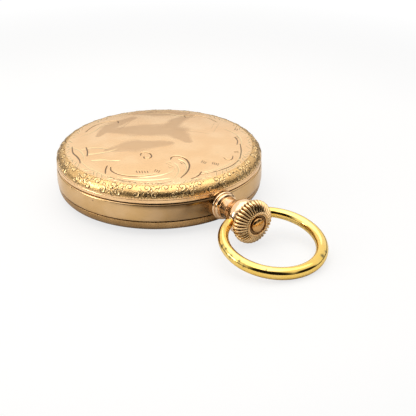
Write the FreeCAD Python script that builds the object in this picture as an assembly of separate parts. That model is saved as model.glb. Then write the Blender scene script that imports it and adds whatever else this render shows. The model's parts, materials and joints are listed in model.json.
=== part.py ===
import FreeCAD, Part
import math
import os
from FreeCAD import Vector

# Open-face pocket watch with a stem-wound lever movement, lying on its crystal with its back up.
# Millimetres. +Z is up, out of the back. The Z axis is the watch's own axis, z = 0 is the flat of the
# crystal that it rests on, and +Y is twelve o'clock, where the pendant, crown and bow are.
# Every sub-part is one node: a closed solid, or a group of them where small pieces repeat.

# ---------------------------------------------------------------- driving dimensions: movement in plan
movement_radius = 21.5
calibre = movement_radius / 21.5  # plan sizes of the train follow the plate, as calibres are drawn
barrel_angle = 20.0
fourth_wheel_distance = 10.6 * calibre
balance_place = (-9.9 * calibre, -5.2 * calibre)
bridge_radius = 19.5 * calibre
bridge_foot_width = 0.65
bridge_split_y = -2.45 * calibre
bridge_split_gap = 0.3

# ---------------------------------------------------------------- driving dimensions: case in plan
movement_clearance = 0.1
inner_wall = 0.7
channel_width = 1.7
outer_wall = 1.0
flange_width = 0.7
inner_wall_radius = movement_radius + movement_clearance
channel_radius = inner_wall_radius + inner_wall
outer_wall_radius = channel_radius + channel_width
case_radius = outer_wall_radius + outer_wall

# ---------------------------------------------------------------- driving dimensions: heights
crystal_thickness = 1.5
hand_thickness = 0.15
hand_gap = 0.3
dial_thickness = 0.75
plate_thickness = 2.45
band_height = 4.4
band_bulge = 0.1
cover_gap = 0.28
bezel_gap = 0.12
cover_rise = 5.1
shoulder_rise = 3.95
lip_height = 0.95
running_gap = 0.05
wheel_thickness = 0.15
barrel_height = 2.4
bridge_thickness = 0.85
rim_height = 0.55

# ---------------------------------------------------------------- driving dimensions: pendant, crown, bow
stem_height_in_band = 2.0
stem_radius = 0.75
stem_clearance = 0.05
pendant_bore = 1.3
collar_radius = 3.4
neck_radius = 2.55
neck_length = 2.3
head_radius = 4.3
head_length = 5.4
crown_overhang = 0.85
crown_radius = head_radius + crown_overhang  # the bow's ends lie beside the head, so the crown follows it
crown_length = 3.2
crown_gap = 0.4
crown_flutes = 36
boss_radius = 1.75
crown_travel = 1.2
bow_wire = 1.33
bow_radius = 11.05
bow_peg = 0.7
bow_floor_gap = 0.03

# ---------------------------------------------------------------- driving dimensions: hinges, small parts
pin_radius = 0.28
pin_clearance = 0.04
knuckle_radius = 0.72
knuckle_length = 3.4
knuckle_gap = 0.05
hinge_stand_off = 0.35
inner_knuckle_radius = 0.5
inner_knuckle_length = 2.2
sweep_clearance = 0.12
cover_wall = 0.5
inner_cover_wall = 0.3
pivot_radius = 0.12
pivot_clearance = 0.02
jewel_radius = 0.75
jewel_thickness = 0.3
screw_radius = 0.5
screw_head_radius = 0.92
screw_head_height = 0.32
slot_width = 0.22
slot_depth = 0.14
pillar_radius = 1.3

# ---------------------------------------------------------------- the stack of levels, front to back
minute_hand_z = crystal_thickness + hand_gap
hour_hand_z = minute_hand_z + hand_thickness + hand_gap - 0.05
seconds_hand_z = hour_hand_z + hand_thickness + 0.22
dial_front_z = seconds_hand_z + hand_thickness + 0.17
dial_back_z = dial_front_z + dial_thickness
plate_top_z = dial_back_z + plate_thickness
band_bottom_z = dial_back_z + 0.05
band_top_z = band_bottom_z + band_height
stem_z = band_bottom_z + stem_height_in_band
under_dial_depth = 0.95
under_dial_z = dial_back_z + under_dial_depth
barrel_floor_z = under_dial_z + 0.3
barrel_z = barrel_floor_z + running_gap + 0.05
barrel_top_z = barrel_z + barrel_height
center_wheel_z = barrel_top_z + 0.15
fourth_wheel_z = plate_top_z + 0.6
escape_wheel_z = fourth_wheel_z + 0.45
escape_thickness = 0.2
pallet_cock_z = escape_wheel_z + escape_thickness + 0.2
pallet_cock_thickness = 0.3
third_wheel_z = center_wheel_z + wheel_thickness + 0.25
rim_z = max(pallet_cock_z + pallet_cock_thickness, center_wheel_z + wheel_thickness) + 0.15
bridge_z = max(third_wheel_z + wheel_thickness, rim_z + 0.1) + 0.3
bridge_top_z = bridge_z + bridge_thickness
hairspring_z = rim_z + rim_height + 0.2
hairspring_height = 0.15
cock_z = hairspring_z + hairspring_height + 0.15
cock_thickness = 0.75
cock_top_z = cock_z + cock_thickness
winding_wheel_z = bridge_top_z + running_gap
winding_wheel_thickness = 0.4
flange_z = plate_top_z + 0.05
flange_thickness = 0.5
cover_z = band_top_z + cover_gap
cover_top_z = band_top_z + cover_rise
inner_cover_z = band_top_z + 0.15

# ---------------------------------------------------------------- gear trains
barrel_module, barrel_teeth, center_leaves = 0.22 * calibre, 78, 12
center_module, center_teeth, third_leaves = 0.20 * calibre, 80, 10
third_module, third_teeth, fourth_leaves = 0.17 * calibre, 75, 10
fourth_module, fourth_teeth, escape_leaves = 0.13 * calibre, 80, 8
escape_teeth, escape_radius = 15, 3.4 * calibre
winding_module, ratchet_teeth, winding_teeth = 0.30 * calibre, 56, 38
keyless_module, keyless_leaves, crown_wheel_teeth = 0.25 * calibre, 12, 30
motion_module, cannon_leaves, minute_teeth, setting_teeth = 0.15 * calibre, 12, 36, 48
hour_teeth, minute_leaves = 40, 10
hour_module = motion_module * (cannon_leaves + minute_teeth) / (hour_teeth + minute_leaves)

TAU = 2 * math.pi
OUT = "parts"
os.makedirs(OUT, exist_ok=True)


# ================================================================ small tools
def polar(radius, degrees, centre=(0.0, 0.0)):
    a = math.radians(degrees)
    return (centre[0] + radius * math.cos(a), centre[1] + radius * math.sin(a))


def distance(a, b):
    return math.hypot(b[0] - a[0], b[1] - a[1])


def bearing(a, b):
    return math.degrees(math.atan2(b[1] - a[1], b[0] - a[0]))


def third_corner(a, b, from_a, from_b, side):
    """The point at two given distances from a and b, on the left (side 1) or right (-1) of a to b."""
    gap = distance(a, b)
    along = (from_a ** 2 - from_b ** 2 + gap ** 2) / (2 * gap)
    off = side * math.sqrt(from_a ** 2 - along ** 2)
    ux, uy = (b[0] - a[0]) / gap, (b[1] - a[1]) / gap
    return (a[0] + along * ux - off * uy, a[1] + along * uy + off * ux)


def disc(radius, z0, z1, at=(0.0, 0.0)):
    return Part.makeCylinder(radius, z1 - z0, Vector(at[0], at[1], z0))


def ring(outer, inner, z0, z1, at=(0.0, 0.0)):
    return disc(outer, z0, z1, at).cut(disc(inner, z0 - 1, z1 + 1, at))


def block(x0, x1, y0, y1, z0, z1):
    return Part.makeBox(x1 - x0, y1 - y0, z1 - z0, Vector(x0, y0, z0))


def rod_x(radius, x0, x1, y, z):
    return Part.makeCylinder(radius, x1 - x0, Vector(x0, y, z), Vector(1, 0, 0))


def rod_y(radius, y0, y1, x=0.0, z=None):
    height = stem_z if z is None else z
    return Part.makeCylinder(radius, y1 - y0, Vector(x, y0, height), Vector(0, 1, 0))


def prism(points, z0, z1):
    wire = Part.makePolygon([Vector(x, y, z0) for x, y in points] + [Vector(*points[0], z0)])
    return Part.Face(wire).extrude(Vector(0, 0, z1 - z0))


def lathe(profile, at=(0.0, 0.0)):
    """A solid of revolution about a vertical axis, from a closed outline of (radius, z) points."""
    pts = [Vector(at[0] + r, at[1], z) for r, z in profile]
    face = Part.Face(Part.makePolygon(pts + [pts[0]]))
    return face.revolve(Vector(at[0], at[1], 0), Vector(0, 0, 1), 360)


def lathe_edges(edges, at=(0.0, 0.0)):
    face = Part.Face(Part.Wire(edges))
    return face.revolve(Vector(at[0], at[1], 0), Vector(0, 0, 1), 360)


def lathe_y(profile):
    """A solid of revolution about the stem's axis, from a closed outline of (radius, y) points."""
    pts = [Vector(0, y, stem_z + r) for r, y in profile]
    face = Part.Face(Part.makePolygon(pts + [pts[0]]))
    return face.revolve(Vector(0, 0, stem_z), Vector(0, 1, 0), 360)


def cap_arc(radius, edge_z, top_z, outward=True):
    """A shallow spherical arc between an edge and the axis, level where it meets the axis."""
    rise = top_z - edge_z
    sphere = (rise ** 2 + radius ** 2) / (2 * rise)
    half = math.asin(radius / sphere) / 2
    middle = (sphere * math.sin(half), 0, top_z - sphere * (1 - math.cos(half)))
    ends = ((radius, 0, edge_z), (0, 0, top_z))
    return arc(ends[0], middle, ends[1]) if outward else arc(ends[1], middle, ends[0])


def arc(a, b, c):
    return Part.Arc(Vector(*a), Vector(*b), Vector(*c)).toShape()


def line(a, b):
    return Part.LineSegment(Vector(*a), Vector(*b)).toShape()


def fuse(first, *others):
    return first.multiFuse(list(others)).removeSplitter() if others else first


def solids_of(shape):
    return shape.Solids if shape.Solids else [shape]


def save(name, *shapes):
    """Writes one node: a single solid, or a compound of the separate solids given."""
    solids = [s for shape in shapes for s in solids_of(shape)]
    for s in solids:
        if not s.isValid() or s.Volume <= 0:
            raise ValueError(f"{name} has a bad solid")
    whole = solids[0] if len(solids) == 1 else Part.makeCompound(solids)
    whole.exportStep(os.path.join(OUT, name + ".step"))
    print(f"{name}: {len(solids)} solid(s), {sum(s.Volume for s in solids):.2f} mm3")


# ================================================================ gears, arbors, screws
WHEEL_TOOTH = dict(tip=0.85, root=1.2, at_root=0.52, at_pitch=0.42, at_tip=0.16)
LEAF = dict(tip=0.75, root=1.3, at_root=0.46, at_pitch=0.36, at_tip=0.14)


def tooth_outline(teeth, module, phase, form, centre=(0.0, 0.0)):
    """Outline of a toothed disc, with a tooth centred on the bearing `phase` in degrees."""
    pitch_radius = teeth * module / 2
    step = TAU / teeth
    rows = [
        (pitch_radius - form["root"] * module, form["at_root"]),
        (pitch_radius, form["at_pitch"]),
        (pitch_radius + form["tip"] * module, form["at_tip"]),
    ]
    points = []
    for k in range(teeth):
        middle = math.radians(phase) + k * step
        rising = [(r, middle - share * step / 2) for r, share in rows]
        falling = [(r, middle + share * step / 2) for r, share in reversed(rows)]
        points += [(centre[0] + r * math.cos(a), centre[1] + r * math.sin(a)) for r, a in rising + falling]
    return points


def toothed_disc(teeth, module, z0, z1, at, phase, form):
    return prism(tooth_outline(teeth, module, phase, form, at), z0, z1)


def meshed_phase(teeth_a, phase_a, teeth_b, bearing_ab):
    """The phase that puts gear b in mesh with gear a, when b lies on that bearing from a."""
    step_a, step_b = 360.0 / teeth_a, 360.0 / teeth_b
    offset = ((bearing_ab - phase_a) / step_a) % 1.0
    return bearing_ab + 180.0 - step_b * (0.5 - offset)


def train_wheel(teeth, module, z0, thickness, at, phase, seat, arms=5, rim=1.1, arm=0.75, hub=1.5):
    """A crossed-out wheel: toothed rim, straight arms and a hub bored to sit on its pinion."""
    rim_inside = teeth * module / 2 - 1.2 * module - rim * calibre * 0.6
    z1 = z0 + thickness
    wheel = toothed_disc(teeth, module, z0, z1, at, phase, WHEEL_TOOTH)
    window = ring(rim_inside, hub * calibre, z0 - 0.1, z1 + 0.1, at)
    spokes = []
    for k in range(arms):
        bar = block(0, rim_inside + 1, -arm * calibre / 2, arm * calibre / 2, z0 - 0.2, z1 + 0.2)
        bar.rotate(Vector(0, 0, 0), Vector(0, 0, 1), 360.0 * k / arms + phase)
        bar.translate(Vector(at[0], at[1], 0))
        spokes.append(bar)
    return wheel.cut(window.cut(spokes[0].multiFuse(spokes[1:]))).cut(disc(seat, z0 - 1, z1 + 1, at))


def pinion(leaves, module, at, phase, leaf_z, body, pivot_low, pivot_high, shoulder=0.32):
    """A steel arbor with leaves cut on it, and a pivot at each end.

    leaf_z is the leaves' span, body the span of the arbor, and the pivots run out to their own ends.
    """
    pieces = [
        toothed_disc(leaves, module, leaf_z[0], leaf_z[1], at, phase, LEAF),
        disc(shoulder, body[0], body[1], at),
        disc(pivot_radius, pivot_low, pivot_high, at),
    ]
    return fuse(*pieces)


def screw(at, seat_z, tip_z, head=screw_head_radius, shank=screw_radius, angle=35.0):
    """A cheese-head screw: its head stands on seat_z and its shank runs down to tip_z."""
    top = seat_z + screw_head_height
    body = fuse(disc(head, seat_z, top, at), disc(shank, tip_z, seat_z + 0.05, at))
    slot = block(-head - 1, head + 1, -slot_width / 2, slot_width / 2, top - slot_depth, top + 1)
    slot.rotate(Vector(0, 0, 0), Vector(0, 0, 1), angle)
    slot.translate(Vector(at[0], at[1], 0))
    return body.cut(slot)


def spiral_strip(inner_radius, pitch, turns, thickness, z0, z1, at):
    """A coiled flat spring, drawn with half circles about two centres half a pitch apart."""
    half = thickness / 2

    def walk(shift):
        edges, sign = [], 1
        radius, centre = inner_radius, 0.0
        for _ in range(2 * turns):
            r = radius + shift
            x, y = at[0] + centre, at[1]
            edges.append(arc((x + sign * r, y, z0), (x, y + sign * r, z0), (x - sign * r, y, z0)))
            centre += sign * pitch / 2
            radius += pitch / 2
            sign = -sign
        return edges

    outside, inside = walk(half), walk(-half)
    start = line(tuple(inside[0].Vertexes[0].Point), tuple(outside[0].Vertexes[0].Point))
    end = line(tuple(outside[-1].Vertexes[-1].Point), tuple(inside[-1].Vertexes[-1].Point))
    wire = Part.Wire(Part.__sortEdges__([start] + outside + [end] + inside))
    return Part.Face(wire).extrude(Vector(0, 0, z1 - z0))


# ================================================================ plan of the movement
CENTER = (0.0, 0.0)
BARREL = polar(barrel_module * (barrel_teeth + center_leaves) / 2, barrel_angle)
FOURTH = (0.0, -fourth_wheel_distance)
THIRD = third_corner(
    CENTER,
    FOURTH,
    center_module * (center_teeth + third_leaves) / 2,
    third_module * (third_teeth + fourth_leaves) / 2,
    1,
)
BALANCE = balance_place
pallet_to_escape = escape_radius / math.cos(math.radians(30))
balance_radius = 6.9 * calibre
rim_screw_reach = balance_radius + 0.45
pallet_to_balance = 5.0 * calibre
ESCAPE = third_corner(
    FOURTH,
    BALANCE,
    fourth_module * (fourth_teeth + escape_leaves) / 2,
    pallet_to_escape + pallet_to_balance,
    1,
)
lever_bearing = bearing(ESCAPE, BALANCE)
PALLET = polar(pallet_to_escape, lever_bearing, ESCAPE)
winding_distance = winding_module * (ratchet_teeth + winding_teeth) / 2
CROWN_WHEEL = (0.0, BARREL[1] + math.sqrt(winding_distance ** 2 - BARREL[0] ** 2))
crown_wheel_radius = keyless_module * crown_wheel_teeth / 2
keyless_radius = keyless_module * keyless_leaves / 2
winding_pinion_y = CROWN_WHEEL[1] + crown_wheel_radius
MINUTE = (0.0, motion_module * (cannon_leaves + minute_teeth) / 2)
SETTING = (0.0, MINUTE[1] + motion_module * (minute_teeth + setting_teeth) / 2)
drum_radius = barrel_module * barrel_teeth / 2 - 1.3 * barrel_module
balance_well = rim_screw_reach + 0.3
PILLARS_BARREL = [polar(17.6 * calibre, a) for a in (60, 120, 165)]
PILLARS_TRAIN = [polar(17.6 * calibre, a) for a in (-50, -100, -15)]

# phases, so that every pair is in mesh as drawn
center_phase = 0.0
barrel_phase = meshed_phase(center_leaves, center_phase, barrel_teeth, bearing(CENTER, BARREL))
third_leaf_phase = meshed_phase(center_teeth, center_phase, third_leaves, bearing(CENTER, THIRD))
fourth_leaf_phase = meshed_phase(third_teeth, 0.0, fourth_leaves, bearing(THIRD, FOURTH))
escape_leaf_phase = meshed_phase(fourth_teeth, 0.0, escape_leaves, bearing(FOURTH, ESCAPE))
winding_phase = 0.0
ratchet_phase = meshed_phase(winding_teeth, winding_phase, ratchet_teeth, bearing(CROWN_WHEEL, BARREL))
minute_phase = meshed_phase(cannon_leaves, 0.0, minute_teeth, bearing(CENTER, MINUTE))
setting_phase = meshed_phase(minute_teeth, minute_phase, setting_teeth, bearing(MINUTE, SETTING))
hour_phase = meshed_phase(minute_leaves, 0.0, hour_teeth, bearing(MINUTE, CENTER))


# ================================================================ case
hinge_y = -(case_radius + hinge_stand_off)
back_hinge_z = cover_z - 0.1
bezel_hinge_z = band_bottom_z - bezel_gap / 2
inner_cover_radius = outer_wall_radius - 0.75
inner_hinge_y = -(inner_cover_radius + 0.25)
inner_hinge_z = inner_cover_z + 0.12


def hinge_leaf(x0, x1, y_axis, z_axis, reach, z0, z1, radius):
    """A knuckle bored for its pin, with a leaf that runs inward to the shell it belongs to."""
    knuckle = rod_x(radius, x0, x1, y_axis, z_axis)
    leaf = block(x0, x1, y_axis, y_axis + reach, z0, z1)
    return knuckle.fuse(leaf).removeSplitter()


def side_knuckles(half_middle, length, y_axis, z_axis, reach, z0, z1, radius):
    start = half_middle + knuckle_gap
    right = hinge_leaf(start, start + length, y_axis, z_axis, reach, z0, z1, radius)
    left = hinge_leaf(-start - length, -start, y_axis, z_axis, reach, z0, z1, radius)
    return right, left


def side_clearance(half_middle, length, y_axis, z_axis, radius):
    """Room for another shell's pair of knuckles."""
    reach = radius + sweep_clearance
    a, b = half_middle, half_middle + length + 2 * knuckle_gap + 0.1
    return rod_x(reach, a, b, y_axis, z_axis).fuse(rod_x(reach, -b, -a, y_axis, z_axis))


def make_case_center():
    """The band, with a channel for the bezel's snap ring and a flange that the movement hangs on."""
    z0, z1 = band_bottom_z, band_top_z
    inner_top = inner_cover_z - 0.05
    web_z = flange_z + flange_thickness
    edge = 0.25
    lip = inner_wall_radius - flange_width
    corners = [
        (case_radius - edge, z1), (outer_wall_radius, z1), (outer_wall_radius, web_z), (channel_radius,
        web_z),
        (channel_radius, inner_top), (inner_wall_radius, inner_top), (inner_wall_radius, web_z), (lip,
        web_z),
        (lip, flange_z), (inner_wall_radius, flange_z), (inner_wall_radius, dial_back_z),
        (channel_radius, dial_back_z), (channel_radius, flange_z), (outer_wall_radius, flange_z),
        (outer_wall_radius, z0), (case_radius - edge, z0), (case_radius, z0 + edge),
        (case_radius + band_bulge, z0 + 1.1), (case_radius + band_bulge, z1 - 1.1), (case_radius,
        z1 - edge),
    ]
    body = lathe(corners)
    half = knuckle_length / 2
    inner_half = inner_knuckle_length / 2
    body = body.fuse([
        hinge_leaf(-half, half, hinge_y, back_hinge_z, 1.0, z1 - 0.9, z1 - 0.03, knuckle_radius),
        hinge_leaf(-half, half, hinge_y, bezel_hinge_z, 1.0, z0 + 0.03, z0 + 0.9, knuckle_radius),
        hinge_leaf(
            -inner_half, inner_half, inner_hinge_y, inner_hinge_z, -inner_hinge_y - inner_wall_radius - 0.3,
            inner_top - 0.55, inner_top - 0.03, inner_knuckle_radius,
        ),
    ])
    cuts = [
        side_clearance(half, knuckle_length * 0.75, hinge_y, back_hinge_z, knuckle_radius),
        side_clearance(half, knuckle_length * 0.75, hinge_y, bezel_hinge_z, knuckle_radius),
        side_clearance(inner_half, inner_knuckle_length * 0.7, inner_hinge_y, inner_hinge_z,
        inner_knuckle_radius),
        rod_x(pin_radius, -half - 1, half + 1, hinge_y, back_hinge_z),
        rod_x(pin_radius, -half - 1, half + 1, hinge_y, bezel_hinge_z),
        rod_x(pin_radius * 0.8, -inner_half - 1, inner_half + 1, inner_hinge_y, inner_hinge_z),
        rod_y(stem_radius + 0.25, inner_wall_radius - 2, outer_wall_radius + 0.5),
        rod_y(pendant_spigot, outer_wall_radius - 0.5, case_radius + 1),
    ]
    for cut in cuts:
        body = body.cut(cut)
    return body


def make_hinge_pins():
    outer_end = knuckle_length / 2 + knuckle_gap + knuckle_length * 0.75
    inner_end = inner_knuckle_length / 2 + knuckle_gap + inner_knuckle_length * 0.7
    return [
        rod_x(pin_radius, -outer_end, outer_end, hinge_y, back_hinge_z),
        rod_x(pin_radius, -outer_end, outer_end, hinge_y, bezel_hinge_z),
        rod_x(pin_radius * 0.8, -inner_end, inner_end, inner_hinge_y, inner_hinge_z),
    ]


def make_back_cover():
    """A domed back: a polished lip, a rounded shoulder and a shallow crown, hollow inside."""
    lip_z = cover_z + lip_height
    shoulder_r, shoulder_z = case_radius * 0.909, band_top_z + shoulder_rise
    mid_r = case_radius - 0.55
    mid_z = lip_z + (shoulder_z - lip_z) * 0.62
    top = cover_top_z
    w = cover_wall
    ledge = 0.68
    edges = [
        line((case_radius - ledge, 0, cover_z), (case_radius - 0.1, 0, cover_z)),
        line((case_radius - 0.1, 0, cover_z), (case_radius, 0, cover_z + 0.15)),
        line((case_radius, 0, cover_z + 0.15), (case_radius, 0, lip_z)),
        arc((case_radius, 0, lip_z), (mid_r, 0, mid_z), (shoulder_r, 0, shoulder_z)),
        cap_arc(shoulder_r, shoulder_z, top),
        line((0, 0, top), (0, 0, top - w)),
        cap_arc(shoulder_r - 0.2, shoulder_z - w, top - w, outward=False),
        arc(
            (shoulder_r - 0.2, 0, shoulder_z - w),
            (mid_r - 0.62, 0, mid_z - 0.15),
            (case_radius - w, 0, lip_z - 0.2),
        ),
        line((case_radius - w, 0, lip_z - 0.2), (case_radius - w, 0, cover_z + 0.45)),
        line((case_radius - w, 0, cover_z + 0.45), (case_radius - ledge, 0, cover_z + 0.45)),
        line((case_radius - ledge, 0, cover_z + 0.45), (case_radius - ledge, 0, cover_z)),
    ]
    shell = lathe_edges(edges)
    knuckles = side_knuckles(
        knuckle_length / 2, knuckle_length * 0.75, hinge_y, back_hinge_z, 1.25,
        cover_z, cover_z + 0.6, knuckle_radius,
    )
    half = knuckle_length / 2
    end = half + knuckle_length
    cuts = [
        rod_x(knuckle_radius + sweep_clearance, -half - knuckle_gap, half + knuckle_gap, hinge_y,
        back_hinge_z),
        rod_x(pin_radius + pin_clearance, -end, end, hinge_y, back_hinge_z),
    ]
    return fuse(shell, *knuckles).cut(cuts)


def make_inner_cover():
    """The dust cover over the movement: a thin domed disc on its own small hinge."""
    r, z0, w = inner_cover_radius, inner_cover_z, inner_cover_wall
    step = max(winding_wheel_z + winding_wheel_thickness, cock_top_z + screw_head_height) + 0.15 - z0
    bulge = step + 0.45
    low = lathe_edges([
        line((0, 0, z0 + bulge), (0, 0, z0 + bulge + w)),
        cap_arc(r - 1.6, z0 + w + step, z0 + bulge + w, outward=False),
        line((r - 1.6, 0, z0 + w + step), (r - 1.2, 0, z0 + w)),
        line((r - 1.2, 0, z0 + w), (r, 0, z0 + w)),
        line((r, 0, z0 + w), (r, 0, z0)),
        line((r, 0, z0), (r - 1.45, 0, z0)),
        line((r - 1.45, 0, z0), (r - 1.9, 0, z0 + step)),
        cap_arc(r - 1.9, z0 + step, z0 + bulge),
    ])
    half, length = inner_knuckle_length / 2, inner_knuckle_length * 0.7
    knuckles = side_knuckles(
        half, length, inner_hinge_y, inner_hinge_z, 0.9, z0, z0 + w, inner_knuckle_radius
    )
    end = half + 2 * length
    cuts = [
        rod_x(inner_knuckle_radius + 0.1, -half - knuckle_gap, half + knuckle_gap, inner_hinge_y,
        inner_hinge_z),
        rod_x(pin_radius * 0.8 + pin_clearance, -end, end, inner_hinge_y, inner_hinge_z),
    ]
    return fuse(low, *knuckles).cut(cuts)


crystal_radius = case_radius - 4.6
bezel_top_z = band_bottom_z - bezel_gap
bezel_edge_z = band_bottom_z - 2.75


def make_bezel():
    """The front ring: it carries the crystal in a groove and snaps into the case centre's channel."""
    seat_z = crystal_thickness - 0.6
    edges = [
        line((case_radius - 0.15, 0, bezel_top_z), (case_radius - 0.15, 0, bezel_top_z - 0.5)),
        arc(
            (case_radius - 0.15, 0, bezel_top_z - 0.5),
            (case_radius - 0.72, 0, bezel_edge_z + 0.78),
            (case_radius - 2.5, 0, bezel_edge_z),
        ),
        line((case_radius - 2.5, 0, bezel_edge_z), (crystal_radius - 0.3, 0, bezel_edge_z - 0.38)),
        line((crystal_radius - 0.3, 0, bezel_edge_z - 0.38), (crystal_radius - 0.3, 0, seat_z - 0.1)),
        line((crystal_radius - 0.3, 0, seat_z - 0.1), (crystal_radius, 0, seat_z - 0.1)),
        line((crystal_radius, 0, seat_z - 0.1), (crystal_radius, 0, crystal_thickness)),
        line((crystal_radius, 0, crystal_thickness), (crystal_radius - 0.3, 0, crystal_thickness)),
        line((crystal_radius - 0.3, 0, crystal_thickness), (crystal_radius - 0.3, 0,
        crystal_thickness + 0.4)),
        line((crystal_radius - 0.3, 0, crystal_thickness + 0.4), (channel_radius + 0.25, 0, bezel_top_z)),
        line((channel_radius + 0.25, 0, bezel_top_z), (channel_radius + 0.25, 0, bezel_top_z + 0.7)),
        line((channel_radius + 0.25, 0, bezel_top_z + 0.7), (outer_wall_radius - 0.35, 0,
        bezel_top_z + 0.7)),
        line((outer_wall_radius - 0.35, 0, bezel_top_z + 0.7), (outer_wall_radius - 0.12, 0, bezel_top_z)),
        line((outer_wall_radius - 0.12, 0, bezel_top_z), (case_radius - 0.15, 0, bezel_top_z)),
    ]
    shell = lathe_edges(edges)
    half = knuckle_length / 2
    end = half + knuckle_length
    knuckles = side_knuckles(
        half, knuckle_length * 0.75, hinge_y, bezel_hinge_z, 1.25, bezel_top_z - 0.6, bezel_top_z,
        knuckle_radius
    )
    cuts = [
        rod_x(knuckle_radius + sweep_clearance, -half - knuckle_gap, half + knuckle_gap, hinge_y,
        bezel_hinge_z),
        rod_x(pin_radius + pin_clearance, -end, end, hinge_y, bezel_hinge_z),
    ]
    return fuse(shell, *knuckles).cut(cuts)


def make_crystal():
    """Thick flat glass with a wide bevel, held in the bezel's groove."""
    r, t = crystal_radius, crystal_thickness
    return lathe([(0, 0), (r - 2.6, 0), (r - 0.3, t - 0.75), (r - 0.3, t - 0.65), (r, t - 0.65), (r, t),
            (0, t)])


# ================================================================ pendant, bow and crown
pendant_spigot = min(stem_height_in_band - 0.1, 1.75)
collar_end = case_radius + 1.9
head_start = collar_end + neck_length
head_end = head_start + head_length
bow_pivot_y = head_end - 1.3
bow_flat = head_radius
crown_start = head_end + crown_gap
crown_end = crown_start + crown_length
counterbore = 2.1
crown_tube = counterbore - stem_clearance - 0.05


def make_pendant_neck():
    """The tube that carries the crown and bow: spigot, waist and a swelling head."""
    waist = head_start
    outline = [
        (pendant_bore, outer_wall_radius - 0.1),
        (pendant_spigot, outer_wall_radius - 0.1),
        (pendant_spigot, case_radius + 0.3),
        (neck_radius, case_radius + 0.3),
        (neck_radius, waist - 0.5),
    ]
    steps = 14
    for k in range(steps + 1):
        t = k / steps
        swell = math.sin(min(1.0, t / 0.72) * math.pi / 2) ** 1.35
        taper = 0.42 * max(0.0, (t - 0.8) / 0.2) ** 2
        outline.append((neck_radius + (head_radius - neck_radius) * swell - taper, waist + t * head_length))
    outline += [
        (counterbore, head_end),
        (counterbore, head_end - 2.6),
        (pendant_bore, head_end - 2.6),
    ]
    body = lathe_y(outline)
    right = rod_x(bow_peg + 0.05, bow_flat - 1.45, head_radius + 1, bow_pivot_y, stem_z)
    left = rod_x(bow_peg + 0.05, -head_radius - 1, -bow_flat + 1.45, bow_pivot_y, stem_z)
    return body.cut(right).cut(left)


def make_pendant_collar():
    """A stepped collar, scribed to the band, that hides the joint between pendant and case."""
    y0, y1 = outer_wall_radius, collar_end
    r = collar_radius
    outline = [
        (neck_radius, y0), (r - 0.12, y0), (r, case_radius + 0.35), (r, case_radius + 0.85),
        (r - 0.2, case_radius + 1.05), (r - 0.42, case_radius + 1.08), (r - 0.42, case_radius + 1.2),
        (r - 0.28, case_radius + 1.3), (r - 0.28, case_radius + 1.6), (r - 0.5, y1), (neck_radius, y1),
    ]
    body = lathe_y(outline)
    foot = lathe_y([
        (pendant_spigot, y0), (neck_radius + 0.01, y0), (neck_radius + 0.01, case_radius + 0.3),
        (pendant_spigot, case_radius + 0.3),
    ])
    room = 0.18
    cuts = [
        disc(case_radius + band_bulge + 0.004, band_bottom_z - 0.01, band_top_z + 0.01),
        disc(case_radius + room, band_top_z, band_top_z + 12),
        disc(case_radius + room, -6, band_bottom_z),
    ]
    return fuse(body, foot).cut(cuts)


def make_bow():
    """A round-wire ring, open at the pendant, whose two ends carry pegs."""
    offset = math.sqrt(bow_radius ** 2 - (bow_flat + 0.15) ** 2)
    centre_y = bow_pivot_y + offset
    torus = Part.makeTorus(bow_radius, bow_wire, Vector(0, centre_y, stem_z), Vector(0, 0, 1))
    face = bow_flat + 0.05
    gap = block(-face, face, bow_pivot_y - 8, bow_pivot_y + 4, stem_z - 4, stem_z + 4)
    pegs = [
        rod_x(bow_peg, bow_flat - 1.35, face + 0.6, bow_pivot_y, stem_z),
        rod_x(bow_peg, -face - 0.6, -bow_flat + 1.35, bow_pivot_y, stem_z),
    ]
    ring_solid = fuse(torus.cut(gap), *pegs)
    far = offset + bow_radius
    drop = math.degrees(math.asin((stem_z - bow_wire - bow_floor_gap) / far))
    ring_solid.rotate(Vector(0, bow_pivot_y, stem_z), Vector(1, 0, 0), -drop)
    return ring_solid, drop


def make_crown_shell():
    """The fluted outside of the crown, a thick shell turned over the core."""
    y0, y1, r = crown_start, crown_end, crown_radius
    outline = [
        (r - 1.35, y0), (r - 0.45, y0), (r - 0.05, y0 + 0.5), (r, y0 + 1.0), (r - 0.05, y0 + 1.55),
        (r - 0.35, y0 + 2.15), (r - 0.95, y0 + 2.7), (r - 1.75, y0 + 3.05), (boss_radius + 0.75, y1),
        (boss_radius + 0.55, y1 - 0.28), (boss_radius, y1 - 0.28),
        (boss_radius, y0 + 1.2), (r - 1.35, y0 + 1.2),
    ]
    body = lathe_y(outline)
    step = TAU / crown_flutes
    deep, high = r - 0.32, r + 0.1
    points = []
    for k in range(crown_flutes):
        a = k * step
        points += [
            (high * math.cos(a - 0.22 * step), high * math.sin(a - 0.22 * step)),
            (high * math.cos(a + 0.22 * step), high * math.sin(a + 0.22 * step)),
            (deep * math.cos(a + 0.5 * step), deep * math.sin(a + 0.5 * step)),
        ]
    star_points = [Vector(x, y0 - 1, stem_z + z) for x, z in points]
    star = Part.Face(Part.makePolygon(star_points + [star_points[0]])).extrude(Vector(0, crown_length + 3,
            0))
    return body.common(star)


def make_crown_core():
    """The core of the crown: a disc and boss, and the tube that runs into the pendant."""
    y0, y1 = crown_start, crown_end
    inner = crown_radius - 1.35
    return lathe_y([
        (stem_radius, head_end - 1.1 - crown_travel), (crown_tube, head_end - 1.1 - crown_travel),
        (crown_tube, y0),
        (inner, y0), (inner, y0 + 1.2), (boss_radius, y0 + 1.2), (boss_radius, y1 - 0.2),
        (boss_radius - 0.1, y1 + 0.12), (boss_radius - 0.5, y1 + 0.38), (boss_radius - 1.1, y1 + 0.52),
        (0, y1 + 0.56), (0, y1 - 0.6), (stem_radius, y1 - 0.6),
    ])


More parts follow.
